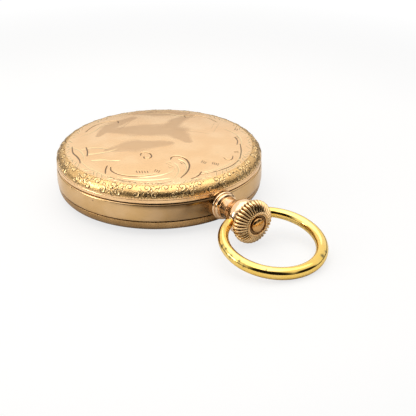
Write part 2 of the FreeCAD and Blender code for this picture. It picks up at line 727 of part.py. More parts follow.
clutch_face = winding_pinion_y - 0.62
stem_square = 0.52
clutch_length = 2.3
clutch_travel = 0.85


def make_winding_stem():
    """The stem: a round shaft through pendant and pinion, and a square that drives the clutch."""
    square_start = winding_pinion_y - 0.65
    tip = SETTING[1] + motion_module * setting_teeth / 2 + 1.2
    shaft = rod_y(stem_radius, square_start, crown_end - 0.6)
    side = stem_square
    square = block(-side, side, tip, square_start + 0.1, stem_z - side, stem_z + side)
    return fuse(shaft, square)


def keyless_gear(y0, y1, phase):
    points = tooth_outline(keyless_leaves, keyless_module, phase, LEAF)
    pts = [Vector(x, y0, stem_z + z) for x, z in points]
    return Part.Face(Part.makePolygon(pts + [pts[0]])).extrude(Vector(0, y1 - y0, 0))


def make_winding_pinion():
    """The pinion that the stem turns, its leaves up in the crown wheel; leaves a gap at the top."""
    gear = keyless_gear(winding_pinion_y - 0.35, winding_pinion_y + 0.35, 90.0 + 180.0 / keyless_leaves)
    body = rod_y(keyless_radius - 0.42, clutch_face + 0.02, winding_pinion_y + 0.75)
    return fuse(gear, body).cut(rod_y(stem_radius + 0.02, 0, case_radius))


def make_clutch_pinion():
    """The sliding clutch: a grooved sleeve on the stem's square, toothed at its inner end."""
    y1 = clutch_face - 0.03
    y0 = y1 - clutch_length
    outline = [
        (0.1, y0), (1.15, y0), (1.15, y0 + 0.7), (0.95, y0 + 0.7), (0.95, y0 + 1.45), (1.2, y0 + 1.45),
        (1.2, y1), (0.1, y1),
    ]
    body = lathe_y(outline)
    side = stem_square + 0.04
    cuts = [block(-side, side, y0 - 1, y1 + 1, stem_z - side, stem_z + side)]
    for k in range(10):
        notch = block(-0.12, 0.12, y0 - 1, y0 + 0.35, stem_z + 0.85, stem_z + 2)
        notch.rotate(Vector(0, 0, stem_z), Vector(0, 1, 0), 36.0 * k)
        cuts.append(notch)
    return body.cut(cuts)


lever_pivot = (6.2 * calibre, clutch_face - clutch_length + 1.1)
lever_z = stem_z - 0.25


def make_clutch_lever():
    """The lever whose nose lies in the clutch's groove and moves it along the stem."""
    nose_y = clutch_face - 0.03 - clutch_length + 1.075
    top = lever_z + 0.5
    arm_points = [
        (1.02, nose_y - 0.17), (1.6, nose_y - 0.17), (lever_pivot[0], lever_pivot[1] - 0.6),
        (lever_pivot[0], lever_pivot[1] + 0.6), (1.6, nose_y + 0.17), (1.02, nose_y + 0.17),
    ]
    body = fuse(prism(arm_points, lever_z, top), disc(0.85, lever_z, top, lever_pivot))
    return body.cut(disc(0.36, lever_z - 1, top + 1, lever_pivot))


# ================================================================ winding work
def make_crown_wheel():
    """The wheel the winding pinion drives: face teeth below, and an arbor up through the bridge."""
    low = stem_z + keyless_radius + 0.12
    disc_z = low + 0.1
    body = disc(crown_wheel_radius + 0.32, disc_z, disc_z + 0.3, CROWN_WHEEL)
    pitch_width = keyless_module * math.pi * 0.36
    teeth = []
    for k in range(crown_wheel_teeth):
        bar = block(
            crown_wheel_radius - 0.3, crown_wheel_radius + 0.3, -pitch_width / 2, pitch_width / 2,
            low - keyless_module * 1.25, disc_z + 0.05,
        )
        bar.rotate(Vector(0, 0, 0), Vector(0, 0, 1), 90.0 + 360.0 * k / crown_wheel_teeth)
        bar.translate(Vector(CROWN_WHEEL[0], CROWN_WHEEL[1], 0))
        teeth.append(bar)
    arbor = disc(0.9, disc_z, winding_wheel_z, CROWN_WHEEL)
    square = block(-0.55, 0.55, -0.55, 0.55, winding_wheel_z - 0.1,
            winding_wheel_z + winding_wheel_thickness)
    square.translate(Vector(CROWN_WHEEL[0], CROWN_WHEEL[1], 0))
    return fuse(body, *teeth, arbor, square)


def make_square_wheel(teeth, at, phase, half_square):
    z0, z1 = winding_wheel_z, winding_wheel_z + winding_wheel_thickness
    wheel = toothed_disc(teeth, winding_module, z0, z1, at, phase, WHEEL_TOOTH)
    hole = block(-half_square, half_square, -half_square, half_square, z0 - 1, z1 + 1)
    hole.translate(Vector(at[0], at[1], 0))
    rebate = ring(teeth * winding_module / 2 - 1.5, 1.9, z1 - 0.1, z1 + 1, at)
    return wheel.cut([hole, rebate])


ratchet_tip = winding_module * (ratchet_teeth / 2 + WHEEL_TOOTH["tip"])
click_pivot = polar(ratchet_tip + 1.7 * calibre, 75.0, BARREL)


def make_click():
    """The click that stops the ratchet from running back, drawn just clear of its teeth."""
    z0, z1 = winding_wheel_z + 0.02, winding_wheel_z + 0.36
    toward = bearing(click_pivot, BARREL)
    reach = distance(click_pivot, BARREL) - ratchet_tip - 0.06
    nose = polar(reach, toward, click_pivot)
    side_a = polar(0.95, toward + 75, click_pivot)
    side_b = polar(0.95, toward - 75, click_pivot)
    body = fuse(prism([side_a, side_b, nose], z0, z1), disc(1.0, z0, z1, click_pivot))
    return body.cut(disc(0.42, z0 - 1, z1 + 1, click_pivot))


# ================================================================ power and train
arbor_radius = 1.1
drum_wall = 0.5


def make_barrel():
    """The going barrel: a drum with teeth round its foot."""
    gear = toothed_disc(barrel_teeth, barrel_module, barrel_z + 0.75, barrel_z + 1.15, BARREL,
            barrel_phase, WHEEL_TOOTH)
    drum = disc(drum_radius, barrel_z, barrel_top_z - 0.3, BARREL)
    hollow = disc(drum_radius - drum_wall, barrel_z + 0.3, barrel_top_z + 1, BARREL)
    return fuse(gear, drum).cut([hollow, disc(arbor_radius * 0.6 + 0.04, barrel_z - 1, barrel_z + 1,
            BARREL)])


def make_barrel_cover():
    return ring(drum_radius, arbor_radius * 0.6 + 0.04, barrel_top_z - 0.3, barrel_top_z, BARREL)


def make_barrel_arbor():
    """The arbor that the mainspring winds on, carried by plate and bridge and squared on top."""
    top = winding_wheel_z + winding_wheel_thickness
    square = block(-0.55, 0.55, -0.55, 0.55, winding_wheel_z - 0.05, top)
    square.translate(Vector(BARREL[0], BARREL[1], 0))
    return fuse(
        disc(0.5, dial_back_z + 0.15, barrel_z, BARREL),
        disc(arbor_radius * 0.6, barrel_z - 0.05, barrel_top_z + 0.05, BARREL),
        disc(arbor_radius, barrel_z + 0.35, barrel_top_z - 0.35, BARREL),
        disc(0.9, barrel_top_z + 0.05, winding_wheel_z, BARREL),
        square,
    )


def make_mainspring():
    turns = 9
    inner = arbor_radius + 0.35
    pitch = (drum_radius - drum_wall - 0.35 - inner) / (turns + 0.5)
    return spiral_strip(inner, pitch, turns, 0.16, barrel_z + 0.4, barrel_top_z - 0.4, BARREL)


def make_center():
    """The centre wheel's arbor passes down through plate and dial, and carries the cannon pinion."""
    leaf_z = (barrel_z + 0.55, barrel_z + 1.35)
    arbor = fuse(
        toothed_disc(center_leaves, barrel_module, leaf_z[0], leaf_z[1], CENTER, center_phase, LEAF),
        disc(0.7, under_dial_z + 0.35, center_wheel_z + wheel_thickness + 0.35),
        disc(0.3, minute_hand_z - 0.1, bridge_z + 0.55),
    )
    wheel = train_wheel(center_teeth, center_module, center_wheel_z, wheel_thickness, CENTER,
            center_phase, 0.7)
    return wheel, arbor


def make_train_pair(at, leaves, leaf_module, leaf_phase, leaf_z, teeth, module, wheel_z, low, high, arms=5):
    arbor = pinion(
        leaves, leaf_module, at, leaf_phase, leaf_z,
        (min(leaf_z[0], wheel_z) - 0.15, max(leaf_z[1], wheel_z + wheel_thickness) + 0.15), low, high,
    )
    wheel = train_wheel(teeth, module, wheel_z, wheel_thickness, at, 0.0, 0.32, arms=arms, hub=1.0, arm=0.6)
    return wheel, arbor


def make_escape():
    """A fifteen-tooth escape wheel of raked, pointed teeth on thin arms."""
    z0, z1 = escape_wheel_z, escape_wheel_z + escape_thickness
    rim_out, rim_in = escape_radius * 0.76, escape_radius * 0.6
    body = [disc(rim_out, z0, z1, ESCAPE).cut(disc(rim_in, z0 - 1, z1 + 1, ESCAPE)), disc(0.85, z0, z1,
            ESCAPE)]
    for k in range(4):
        bar = block(-rim_in - 0.1, rim_in + 0.1, -0.22, 0.22, z0, z1)
        bar.rotate(Vector(0, 0, 0), Vector(0, 0, 1), 45.0 * k)
        bar.translate(Vector(ESCAPE[0], ESCAPE[1], 0))
        if k % 2 == 0:
            body.append(bar)
    for k in range(escape_teeth):
        a = lever_bearing + 12.0 + 360.0 * k / escape_teeth
        body.append(prism([
            polar(rim_out - 0.15, a - 6.0, ESCAPE), polar(escape_radius, a + 2.2, ESCAPE),
            polar(escape_radius, a + 5.2, ESCAPE), polar(rim_out - 0.15, a + 4.5, ESCAPE),
        ], z0, z1))
    wheel = fuse(*body).cut(disc(0.32, z0 - 1, z1 + 1, ESCAPE))
    arbor = pinion(
        escape_leaves, fourth_module, ESCAPE, escape_leaf_phase,
        (fourth_wheel_z - 0.12, fourth_wheel_z + wheel_thickness + 0.12),
        (fourth_wheel_z - 0.3, escape_wheel_z + escape_thickness + 0.15), lower_pivot_z, upper_pivot_z,
    )
    return wheel, arbor


lower_pivot_z = plate_top_z - jewel_thickness + 0.03
upper_pivot_z = bridge_z + jewel_thickness - 0.03


# ================================================================ escapement and balance
def make_pallet_fork():
    """The lever: a bar along the line of centres, a fork at the balance and two arms for the stones."""
    z0, z1 = escape_wheel_z, escape_wheel_z + escape_thickness
    length = pallet_to_balance - roller_reach - 0.12
    ahead = lever_bearing

    def place(along, across):
        p = polar(along, ahead, PALLET)
        return polar(across, ahead + 90, p)

    stem = prism([place(0, -0.28), place(length - 0.9, -0.16), place(length - 0.9, 0.16), place(0, 0.28)],
            z0, z1)
    fork = prism([
        place(length - 1.0, -0.2), place(length - 0.75, -0.68), place(length, -0.68), place(length, -0.38),
        place(length - 0.45, -0.36), place(length - 0.45, 0.36), place(length, 0.38), place(length, 0.68),
        place(length - 0.75, 0.68), place(length - 1.0, 0.2),
    ], z0, z1)
    arms = prism([
        place(0.35, -0.5), place(0.1, -2.2), place(-0.75, -2.35), place(-0.75, -1.85), place(-0.4, -0.5),
        place(-0.4, 0.5), place(-0.75, 1.85), place(-0.75, 2.35), place(0.1, 2.2), place(0.35, 0.5),
    ], z0, z1)
    body = fuse(disc(0.6, z0, z1, PALLET), stem, fork, arms)
    arbor = fuse(
        disc(0.25, z0 - 0.35, z1 + 0.1, PALLET),
        disc(pivot_radius, lower_pivot_z, pallet_cock_z + pallet_cock_thickness - 0.03, PALLET),
    )
    stones = []
    for side in (-1, 1):
        far = escape_radius + 0.07
        stone = prism([
            place(-0.74, side * 1.88), place(-0.74, side * 2.3), place(-1.15, side * 2.3), place(-1.15,
            side * 1.88),
        ], z0 + 0.02, z1 - 0.02)
        stones.append(stone.cut(disc(far, z0 - 1, z1 + 1, ESCAPE)))
    return body.cut([disc(0.25, z0 - 1, z1 + 1, PALLET)] + stones), arbor, stones


roller_reach = 0.85 * calibre
impulse_bearing = lever_bearing + 180.0


def make_balance():
    """A two-armed balance with a cut rim, its timing screws, staff, and the roller with its jewel."""
    z0, z1 = rim_z, rim_z + rim_height
    rim = ring(balance_radius, balance_radius - 0.6, z0, z1, BALANCE)
    arm = block(-balance_radius + 0.3, balance_radius - 0.3, -0.45, 0.45, z0 + 0.12, z0 + 0.34)
    arm.rotate(Vector(0, 0, 0), Vector(0, 0, 1), lever_bearing + 90)
    arm.translate(Vector(BALANCE[0], BALANCE[1], 0))
    hub = disc(1.0, z0 + 0.12, z0 + 0.34, BALANCE)
    wheel = fuse(rim, arm, hub)
    cuts = [disc(0.42, z0 - 1, z1 + 1, BALANCE)]
    for turn in (14.0, 194.0):
        gap = block(balance_radius - 1.2, balance_radius + 1, -0.09, 0.09, z0 - 1, z1 + 1)
        gap.rotate(Vector(0, 0, 0), Vector(0, 0, 1), lever_bearing + 90 + turn)
        gap.translate(Vector(BALANCE[0], BALANCE[1], 0))
        cuts.append(gap)
    wheel = wheel.cut(cuts)
    screws, middle = [], (z0 + z1) / 2
    for k in range(16):
        bearing_k = lever_bearing + 90 + 11.25 + 22.5 * k
        if min(abs((bearing_k - lever_bearing - 90 - g) % 360 - 0) for g in (14.0, 194.0)) < 4:
            continue
        start = polar(balance_radius, bearing_k, BALANCE)
        out = Vector(math.cos(math.radians(bearing_k)), math.sin(math.radians(bearing_k)), 0)
        screws.append(Part.makeCylinder(0.25, 0.42, Vector(start[0], start[1], middle), out))
    staff = fuse(
        disc(0.42, rim_z - 0.3, rim_z + rim_height, BALANCE),
        disc(0.3, escape_wheel_z - 0.2, hairspring_z + hairspring_height, BALANCE),
        disc(0.1, plate_top_z - jewel_thickness - 0.01, cock_z + jewel_thickness + 0.01, BALANCE),
    )
    roller = ring(roller_reach + 0.45, 0.3, escape_wheel_z + escape_thickness + 0.1,
            escape_wheel_z + escape_thickness + 0.28, BALANCE)
    jewel_at = polar(roller_reach, impulse_bearing, BALANCE)
    jewel = disc(0.14, escape_wheel_z + 0.02, escape_wheel_z + escape_thickness + 0.1, jewel_at)
    return wheel, screws, staff, roller, jewel


def make_hairspring():
    return spiral_strip(0.75, 0.2, 11, 0.05, hairspring_z, hairspring_z + hairspring_height, BALANCE)


def make_hairspring_collet():
    inner = 0.3
    return ring(0.66, inner, hairspring_z, hairspring_z + hairspring_height, BALANCE)


cock_foot_bearing = bearing((0, 0), BALANCE)
cock_foot_inner = max(18.85 * calibre, distance((0, 0), BALANCE) + balance_well)
cock_foot_outer = inner_wall_radius - flange_width - 0.15


def make_balance_cock():
    """A single-footed bridge over the balance, its foot outside the rim against the case."""
    foot_z = plate_top_z
    z0, z1 = cock_z, cock_top_z
    sector = ring(cock_foot_outer, cock_foot_inner, foot_z, z1)
    wedge = [(0, 0), polar(40, cock_foot_bearing - 17), polar(40, cock_foot_bearing + 17)]
    foot = sector.common(prism(wedge, foot_z - 1, z1 + 1))
    near = polar(cock_foot_outer - 0.2, cock_foot_bearing)
    arm_points = [
        polar(cock_foot_inner + 0.2, cock_foot_bearing - 15), polar(cock_foot_outer - 0.1,
        cock_foot_bearing - 15),
        near, polar(cock_foot_outer - 0.1, cock_foot_bearing + 15), polar(cock_foot_inner + 0.2,
        cock_foot_bearing + 15),
        polar(2.2, cock_foot_bearing + 90, BALANCE), polar(2.2, cock_foot_bearing - 90, BALANCE),
    ]
    arm = prism(arm_points, z0, z1)
    head = disc(2.2, z0, z1, BALANCE)
    body = fuse(foot, arm, head).common(disc(cock_foot_outer, 0, 30))
    return body.cut([disc(jewel_radius, z0 - 1, z1 + 1, BALANCE), disc(screw_radius, foot_z - 1, z1 + 1,
            cock_screw)])


cock_screw = polar((cock_foot_inner + cock_foot_outer) / 2, cock_foot_bearing)


def make_regulator():
    """The index: a ring round the cock's jewel with a pointer, turned to set the rate."""
    z0, z1 = cock_top_z + 0.02, cock_top_z + 0.22
    out = cock_foot_bearing + 180
    tip = polar(5.2 * calibre, out, BALANCE)
    side_a = polar(1.5, out + 22, BALANCE)
    side_b = polar(1.5, out - 22, BALANCE)
    pointer = prism([side_a, polar(5.0 * calibre, out + 1.6, BALANCE), tip, polar(5.0 * calibre,
            out - 1.6, BALANCE), side_b], z0, z1)
    return fuse(disc(1.75, z0, z1, BALANCE), pointer).cut(disc(1.02, z0 - 1, z1 + 1, BALANCE))


def make_pallet_cock():
    """A low bridge over the pallet arbor, under the balance, on two short pillars."""
    z0, z1 = pallet_cock_z, pallet_cock_z + pallet_cock_thickness
    ends = [polar(3.6 * calibre, lever_bearing + 69, PALLET), polar(4.8 * calibre, lever_bearing + 107,
            PALLET)]
    bars = []
    for e in ends:
        turn = bearing(PALLET, e)
        bars.append(prism([
            polar(0.65, turn + 90, PALLET), polar(0.65, turn - 90, PALLET),
            polar(0.65, turn - 90, e), polar(0.65, turn + 90, e),
        ], z0, z1))
    posts = [disc(0.8, plate_top_z, z1, e) for e in ends]
    body = fuse(disc(0.9, z0, z1, PALLET), *bars, *posts)
    return body.cut([disc(0.5, z0 - 1, z1 + 1, PALLET)]), ends


# ================================================================ plate and bridges
def foot_wall(start, end):
    """A rim wall from plate to bridge between two bearings, each under a half turn apart."""
    wall = ring(bridge_radius, bridge_radius - bridge_foot_width, plate_top_z, bridge_z + 0.05)
    wedge = [(0, 0)] + [polar(60, start + (end - start) * k / 4) for k in range(5)]
    return wall.common(prism(wedge, plate_top_z - 1, bridge_z + 1))


def jewel_hole(at, z, thickness):
    return disc(jewel_radius, z, z + thickness, at)


def make_main_plate():
    """The pillar plate: recessed for the barrel and the under-dial work, and slotted for the stem."""
    z0, z1 = dial_back_z, plate_top_z
    plate = disc(movement_radius, z0, z1)
    motion = [
        disc(motion_module * minute_teeth / 2 + 0.35, z0 - 1, under_dial_z, MINUTE),
        disc(motion_module * setting_teeth / 2 + 0.35, z0 - 1, under_dial_z, SETTING),
        disc(hour_module * hour_teeth / 2 + 0.35, z0 - 1, under_dial_z, CENTER),
    ]
    tip = barrel_module * (barrel_teeth / 2 + WHEEL_TOOTH["tip"])
    slot_y0 = SETTING[1] + motion_module * setting_teeth / 2 + 1.0
    slot_half = keyless_radius + 0.35
    lever_low = lever_z - 0.1
    pocket_points = [
        (0, lever_pivot[1] - 1.9), (lever_pivot[0], lever_pivot[1] - 1.1), (lever_pivot[0],
        lever_pivot[1] + 1.1),
        (0, lever_pivot[1] + 1.4),
    ]
    cuts = motion + [
        disc(tip + 0.12, barrel_floor_z, z1 + 1, BARREL),
        disc(0.53, z0 - 1, z1, BARREL),
        disc(0.72, z0 - 1, z1 + 1, CENTER),
        disc(barrel_module * (center_leaves / 2 + LEAF["tip"]) + 0.15, barrel_z + 0.45, z1 + 1, CENTER),
        block(-slot_half, slot_half, slot_y0, winding_pinion_y + 0.85, stem_z - slot_half, z1 + 1),
        block(-slot_half, slot_half, slot_y0 - 1.2, slot_y0 + 0.1, z0 - 1, z1 + 1),
        rod_y(stem_radius + stem_clearance, 0.8 * movement_radius, movement_radius + 1),
        block(-stem_radius - stem_clearance, stem_radius + stem_clearance, winding_pinion_y,
        movement_radius + 1, stem_z, z1 + 1),
        prism(pocket_points, lever_low, z1 + 1),
        disc(1.15, lever_low, z1 + 1, lever_pivot),
        disc(0.2, z0 - 1, z1 + 1, FOURTH),
    ]
    for at in (THIRD, FOURTH, ESCAPE, PALLET):
        cuts.append(jewel_hole(at, z1 - jewel_thickness, 1))
    cuts.append(jewel_hole(BALANCE, z1 - 2 * jewel_thickness, 1))
    for at in PILLARS_BARREL + PILLARS_TRAIN + [cock_screw]:
        cuts.append(disc(screw_radius, z1 - 1.4, z1 + 1, at))
    for at in case_screw_places:
        cuts.append(disc(0.35, z1 - 1.2, z1 + 1, at))
    for at in dial_feet:
        cuts.append(disc(0.42, z0 - 1, z0 + 1.3, at))
    plate = plate.cut(cuts)
    studs = [
        disc(0.3, under_dial_z - 0.85, under_dial_z + 0.1, MINUTE),
        disc(0.3, under_dial_z - 0.85, under_dial_z + 0.1, SETTING),
        disc(0.33, lever_low - 0.1, lever_z + 0.55, lever_pivot),
    ]
    return fuse(plate, *studs)


dial_feet = [polar(18.3 * calibre, a) for a in (35, 150, 268)]
case_screw_places = [polar(movement_radius - 1.0, a) for a in (100, 325)]


def make_barrel_bridge():
    z0, z1 = bridge_z, bridge_top_z
    top = disc(bridge_radius, z0, z1).common(
        block(-60, 60, bridge_split_y + bridge_split_gap / 2, 60, z0 - 1, z1 + 1)
    )
    pillars = [disc(pillar_radius, plate_top_z, z0 + 0.1, at) for at in PILLARS_BARREL]
    walls = [foot_wall(22, 80), foot_wall(100, 166)]
    body = fuse(top, *walls, *pillars)
    cuts = [
        disc(balance_well, plate_top_z - 1, z1 + 1, BALANCE),
        disc(0.93, z0 - 1, z1 + 1, CROWN_WHEEL),
        disc(0.93, z0 - 1, z1 + 1, BARREL),
        disc(0.33, z0 - 1, z1 + 1, CENTER),
        disc(0.42, z1 - 0.5, z1 + 1, click_pivot),
    ]
    for at in PILLARS_BARREL:
        cuts += [disc(screw_radius, plate_top_z - 1, z1 + 1, at), disc(screw_head_radius + 0.08, z1 - 0.3,
                z1 + 1, at)]
    return body.cut(cuts)


def make_train_bridge():
    z0, z1 = bridge_z, bridge_top_z
    top = disc(bridge_radius, z0, z1).common(
        block(-60, 60, -60, bridge_split_y - bridge_split_gap / 2, z0 - 1, z1 + 1)
    )
    pillars = [disc(pillar_radius, plate_top_z, z0 + 0.1, at) for at in PILLARS_TRAIN]
    walls = [foot_wall(-114, -66), foot_wall(-64, -12)]
    body = fuse(top, *walls, *pillars)
    room = prism([(0, 0), polar(60, cock_foot_bearing - 22), polar(60, cock_foot_bearing + 22)],
            plate_top_z - 1, z1 + 1)
    cuts = [disc(balance_well, plate_top_z - 1, z1 + 1, BALANCE), room]
    for at in (THIRD, FOURTH, ESCAPE):
        cuts.append(disc(jewel_radius, z0 - 1, z0 + jewel_thickness, at))
        cuts.append(disc(0.35, z0 - 1, z1 + 1, at))
    for at in PILLARS_TRAIN:
        cuts += [disc(screw_radius, plate_top_z - 1, z1 + 1, at), disc(screw_head_radius + 0.08, z1 - 0.3,
                z1 + 1, at)]
    pieces = sorted(body.cut(cuts).Solids, key=lambda s: s.Volume)
    return pieces[-1]


def jewel(at, z, hole, thickness=jewel_thickness, radius=jewel_radius):
    return ring(radius, hole, z, z + thickness, at)


# ================================================================ dial, hands and motion work
dial_radius = movement_radius - 0.5
seconds_dial_radius = 4.3 * calibre


def make_dial():
    """A white enamel dial with a sunk seconds dial at six o'clock and three feet into the plate."""
    z0, z1 = dial_front_z, dial_back_z
    face = disc(dial_radius, z0, z1)
    feet = [disc(0.4, z1 - 0.1, z1 + 1.2, at) for at in dial_feet]
    cuts = [
        disc(1.35, z0 - 1, z1 + 1, CENTER), disc(0.45, z0 - 1, z1 + 1, FOURTH),
        disc(seconds_dial_radius, z0 - 1, z0 + 0.12, FOURTH),
    ]
    return fuse(face, *feet).cut(cuts)


def hand(length, width, tail, at, z, boss, hole, angle, thickness=hand_thickness):
    """A spade-and-whip hand pointing along a bearing from its boss."""
    body = prism([
        polar(tail, angle + 180, at), polar(width * 0.5, angle - 90, at),
        polar(length * 0.62, angle - 2.2, at), polar(length * 0.72, angle - 5.5, at), polar(length, angle,
        at),
        polar(length * 0.72, angle + 5.5, at), polar(length * 0.62, angle + 2.2, at), polar(width * 0.5,
        angle + 90, at),
    ], z, z + thickness)
    return fuse(body, disc(boss, z, z + thickness, at)).cut(disc(hole, z - 1, z + thickness + 1, at))


# On the dial side twelve o'clock is +Y and three o'clock is -X, so clock angles run anticlockwise from above.
def clock_bearing(fraction_of_turn):
    return 90.0 + 360.0 * fraction_of_turn


hour_fraction, minute_fraction = (10 + 9 / 60) / 12, 9 / 60


def make_cannon_pinion():
    z_leaf = under_dial_z - 0.55
    pipe = disc(0.62, minute_hand_z, z_leaf + 0.05)
    leaves = toothed_disc(cannon_leaves, motion_module, z_leaf, z_leaf + 0.45, CENTER, 0.0, LEAF)
    return fuse(pipe, leaves).cut(disc(0.3 + 0.02, 0, 20))


def make_minute_wheel():
    z0 = under_dial_z - 0.5
    wheel = toothed_disc(minute_teeth, motion_module, z0, z0 + 0.2, MINUTE, minute_phase, WHEEL_TOOTH)
    leaves = toothed_disc(minute_leaves, hour_module, z0 - 0.4, z0 + 0.05, MINUTE, 0.0, LEAF)
    return fuse(wheel, leaves).cut(disc(0.33, 0, 20, MINUTE))


def make_hour_wheel():
    z0 = under_dial_z - 0.85
    wheel = toothed_disc(hour_teeth, hour_module, z0, z0 + 0.2, CENTER, hour_phase, WHEEL_TOOTH)
    pipe = disc(1.05, hour_hand_z, z0 + 0.05)
    return fuse(wheel, pipe).cut(disc(0.62 + 0.04, 0, 20))


def make_setting_wheel():
    z0 = under_dial_z - 0.5
    wheel = toothed_disc(setting_teeth, motion_module, z0, z0 + 0.2, SETTING, setting_phase, WHEEL_TOOTH)
    return wheel.cut(disc(0.33, 0, 20, SETTING))


# ================================================================ build every node
def main():
    save("case_center", make_case_center())
    save("hinge_pins", *make_hinge_pins())
    save("back_cover", make_back_cover())
    save("inner_cover", make_inner_cover())
    save("bezel", make_bezel())
    save("crystal", make_crystal())
    save("pendant_neck", make_pendant_neck())
    save("pendant_collar", make_pendant_collar())
    bow, drop = make_bow()
    save("bow", bow)
    save("crown_shell", make_crown_shell())
    save("crown_core", make_crown_core())
    save("winding_stem", make_winding_stem())
    save("winding_pinion", make_winding_pinion())
    save("clutch_pinion", make_clutch_pinion())
    save("clutch_lever", make_clutch_lever())
    save("crown_wheel", make_crown_wheel())
    save("winding_wheel", make_square_wheel(winding_teeth, CROWN_WHEEL, winding_phase, 0.55))
    save("ratchet_wheel", make_square_wheel(ratchet_teeth, BARREL, ratchet_phase, 0.55))
    save("click", make_click())
    save("mainspring_barrel", make_barrel())
    save("barrel_cover", make_barrel_cover())
    save("barrel_arbor", make_barrel_arbor())
    save("mainspring", make_mainspring())
    wheel, arbor = make_center()
    save("center_wheel", wheel)
    save("center_pinion", arbor)
    wheel, arbor = make_train_pair(
        THIRD, third_leaves, center_module, third_leaf_phase, (center_wheel_z - 0.12,
        center_wheel_z + wheel_thickness + 0.1),
        third_teeth, third_module, third_wheel_z, lower_pivot_z, upper_pivot_z,
    )
    save("third_wheel", wheel)
    save("third_pinion", arbor)
    wheel, arbor = make_train_pair(
        FOURTH, fourth_leaves, third_module, fourth_leaf_phase, (third_wheel_z - 0.12,
        third_wheel_z + wheel_thickness + 0.12),
        fourth_teeth, fourth_module, fourth_wheel_z, seconds_hand_z - 0.05, upper_pivot_z,
    )
    save("fourth_wheel", wheel)
    save("fourth_pinion", arbor)
    wheel, arbor = make_escape()
    save("escape_wheel", wheel)
    save("escape_pinion", arbor)
    fork, arbor, stones = make_pallet_fork()
    save("pallet_fork", fork)
    save("pallet_arbor", arbor)
    save("pallet_stones", *stones)
    wheel, screws, staff, roller, impulse = make_balance()
    save("balance_wheel", wheel)
    save("balance_screws", *screws)
    save("balance_staff", staff)
    save("roller_table", roller)
    save("impulse_jewel", impulse)
    save("hairspring", make_hairspring(), make_hairspring_collet())
    save("balance_cock", make_balance_cock())
    save("regulator", make_regulator())
    cock, _ = make_pallet_cock()
    save("pallet_cock", cock)
    save("main_plate", make_main_plate())
    save("barrel_bridge", make_barrel_bridge())
    save("train_bridge", make_train_bridge())
    bridge_seats = [screw(at, bridge_top_z - 0.3,
            plate_top_z - 1.3) for at in PILLARS_BARREL + PILLARS_TRAIN]
    cock_seat = screw(cock_screw, cock_top_z, plate_top_z - 1.3, head=0.75)
    save("bridge_screws", *bridge_seats, cock_seat)
    case_seats = [
        screw(at, flange_z + flange_thickness, plate_top_z - 1.1, head=0.95,
        shank=0.35) for at in case_screw_places
    ]
    save("case_screws", *case_seats)
    hole = pivot_radius + pivot_clearance
    plate_jewels = [jewel(at, plate_top_z - jewel_thickness, hole) for at in (THIRD, ESCAPE, PALLET)]
    plate_jewels.append(jewel(FOURTH, plate_top_z - jewel_thickness, hole))
    plate_jewels.append(jewel(BALANCE, plate_top_z - jewel_thickness, 0.12))
    save("plate_jewels", *plate_jewels)
    bridge_jewels = [jewel(at, bridge_z, hole) for at in (THIRD, FOURTH, ESCAPE)]
    bridge_jewels.append(jewel(PALLET, pallet_cock_z, hole, pallet_cock_thickness, 0.5))
    bridge_jewels.append(jewel(BALANCE, cock_z, 0.12))
    save("bridge_jewels", *bridge_jewels)
    stones = [
        disc(jewel_radius, cock_z + jewel_thickness + 0.02, cock_z + 2 * jewel_thickness, BALANCE),
        disc(jewel_radius, plate_top_z - 2 * jewel_thickness, plate_top_z - jewel_thickness - 0.02,
        BALANCE),
    ]
    save("endstones", *stones)
    save("dial", make_dial())
    save("cannon_pinion", make_cannon_pinion())
    save("minute_wheel", make_minute_wheel())
    save("hour_wheel", make_hour_wheel())
    save("setting_wheel", make_setting_wheel())
    save("minute_hand", hand(15.2 * calibre, 1.0, 2.6, CENTER, minute_hand_z, 1.2, 0.62,
            clock_bearing(minute_fraction)))
    save("hour_hand", hand(10.2 * calibre, 1.3, 2.0, CENTER, hour_hand_z, 1.6, 1.05,
            clock_bearing(hour_fraction)))
    save("seconds_hand", hand(3.6 * calibre, 0.3, 1.2, FOURTH, seconds_hand_z, 0.42, pivot_radius,
            clock_bearing(0.58), 0.1))
    facts = dict(
        case_radius=case_radius, band_bottom_z=band_bottom_z, band_top_z=band_top_z,
        cover_top_z=cover_top_z,
        stem_z=stem_z, hinge_y=hinge_y, back_hinge_z=back_hinge_z, bezel_hinge_z=bezel_hinge_z,
        inner_hinge_y=inner_hinge_y, inner_hinge_z=inner_hinge_z, bow_pivot_y=bow_pivot_y, bow_drop=drop,
        crown_end=crown_end, barrel=BARREL, third=THIRD, fourth=FOURTH, escape=ESCAPE, pallet=PALLET,
        balance=BALANCE, crown_wheel=CROWN_WHEEL, minute=MINUTE, setting=SETTING, click=click_pivot,
        lever=lever_pivot, plate_top_z=plate_top_z, bridge_z=bridge_z, bridge_top_z=bridge_top_z,
        cock_top_z=cock_top_z, winding_pinion_y=winding_pinion_y, dial_front_z=dial_front_z,
        crystal_radius=crystal_radius, rim_z=rim_z, third_wheel_z=third_wheel_z,
        inner_cover_z=inner_cover_z,
    )
    for name, value in facts.items():
        print(f"  {name} = {value}")


main()
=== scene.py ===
"""Looks for an open-face pocket watch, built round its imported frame.

Every length in this file is in millimetres until a mesh is made; the frame and the meshes are in metres.
The watch lies on its crystal: +Z is out of the back and +Y is towards twelve o'clock.
"""

import json
import logging
import math
from dataclasses import dataclass, field
from enum import Enum
from typing import Any, Dict, List, Mapping, Optional, Sequence, Tuple, Union

import bmesh
import bpy
import numpy as np
from mathutils import Matrix, Vector

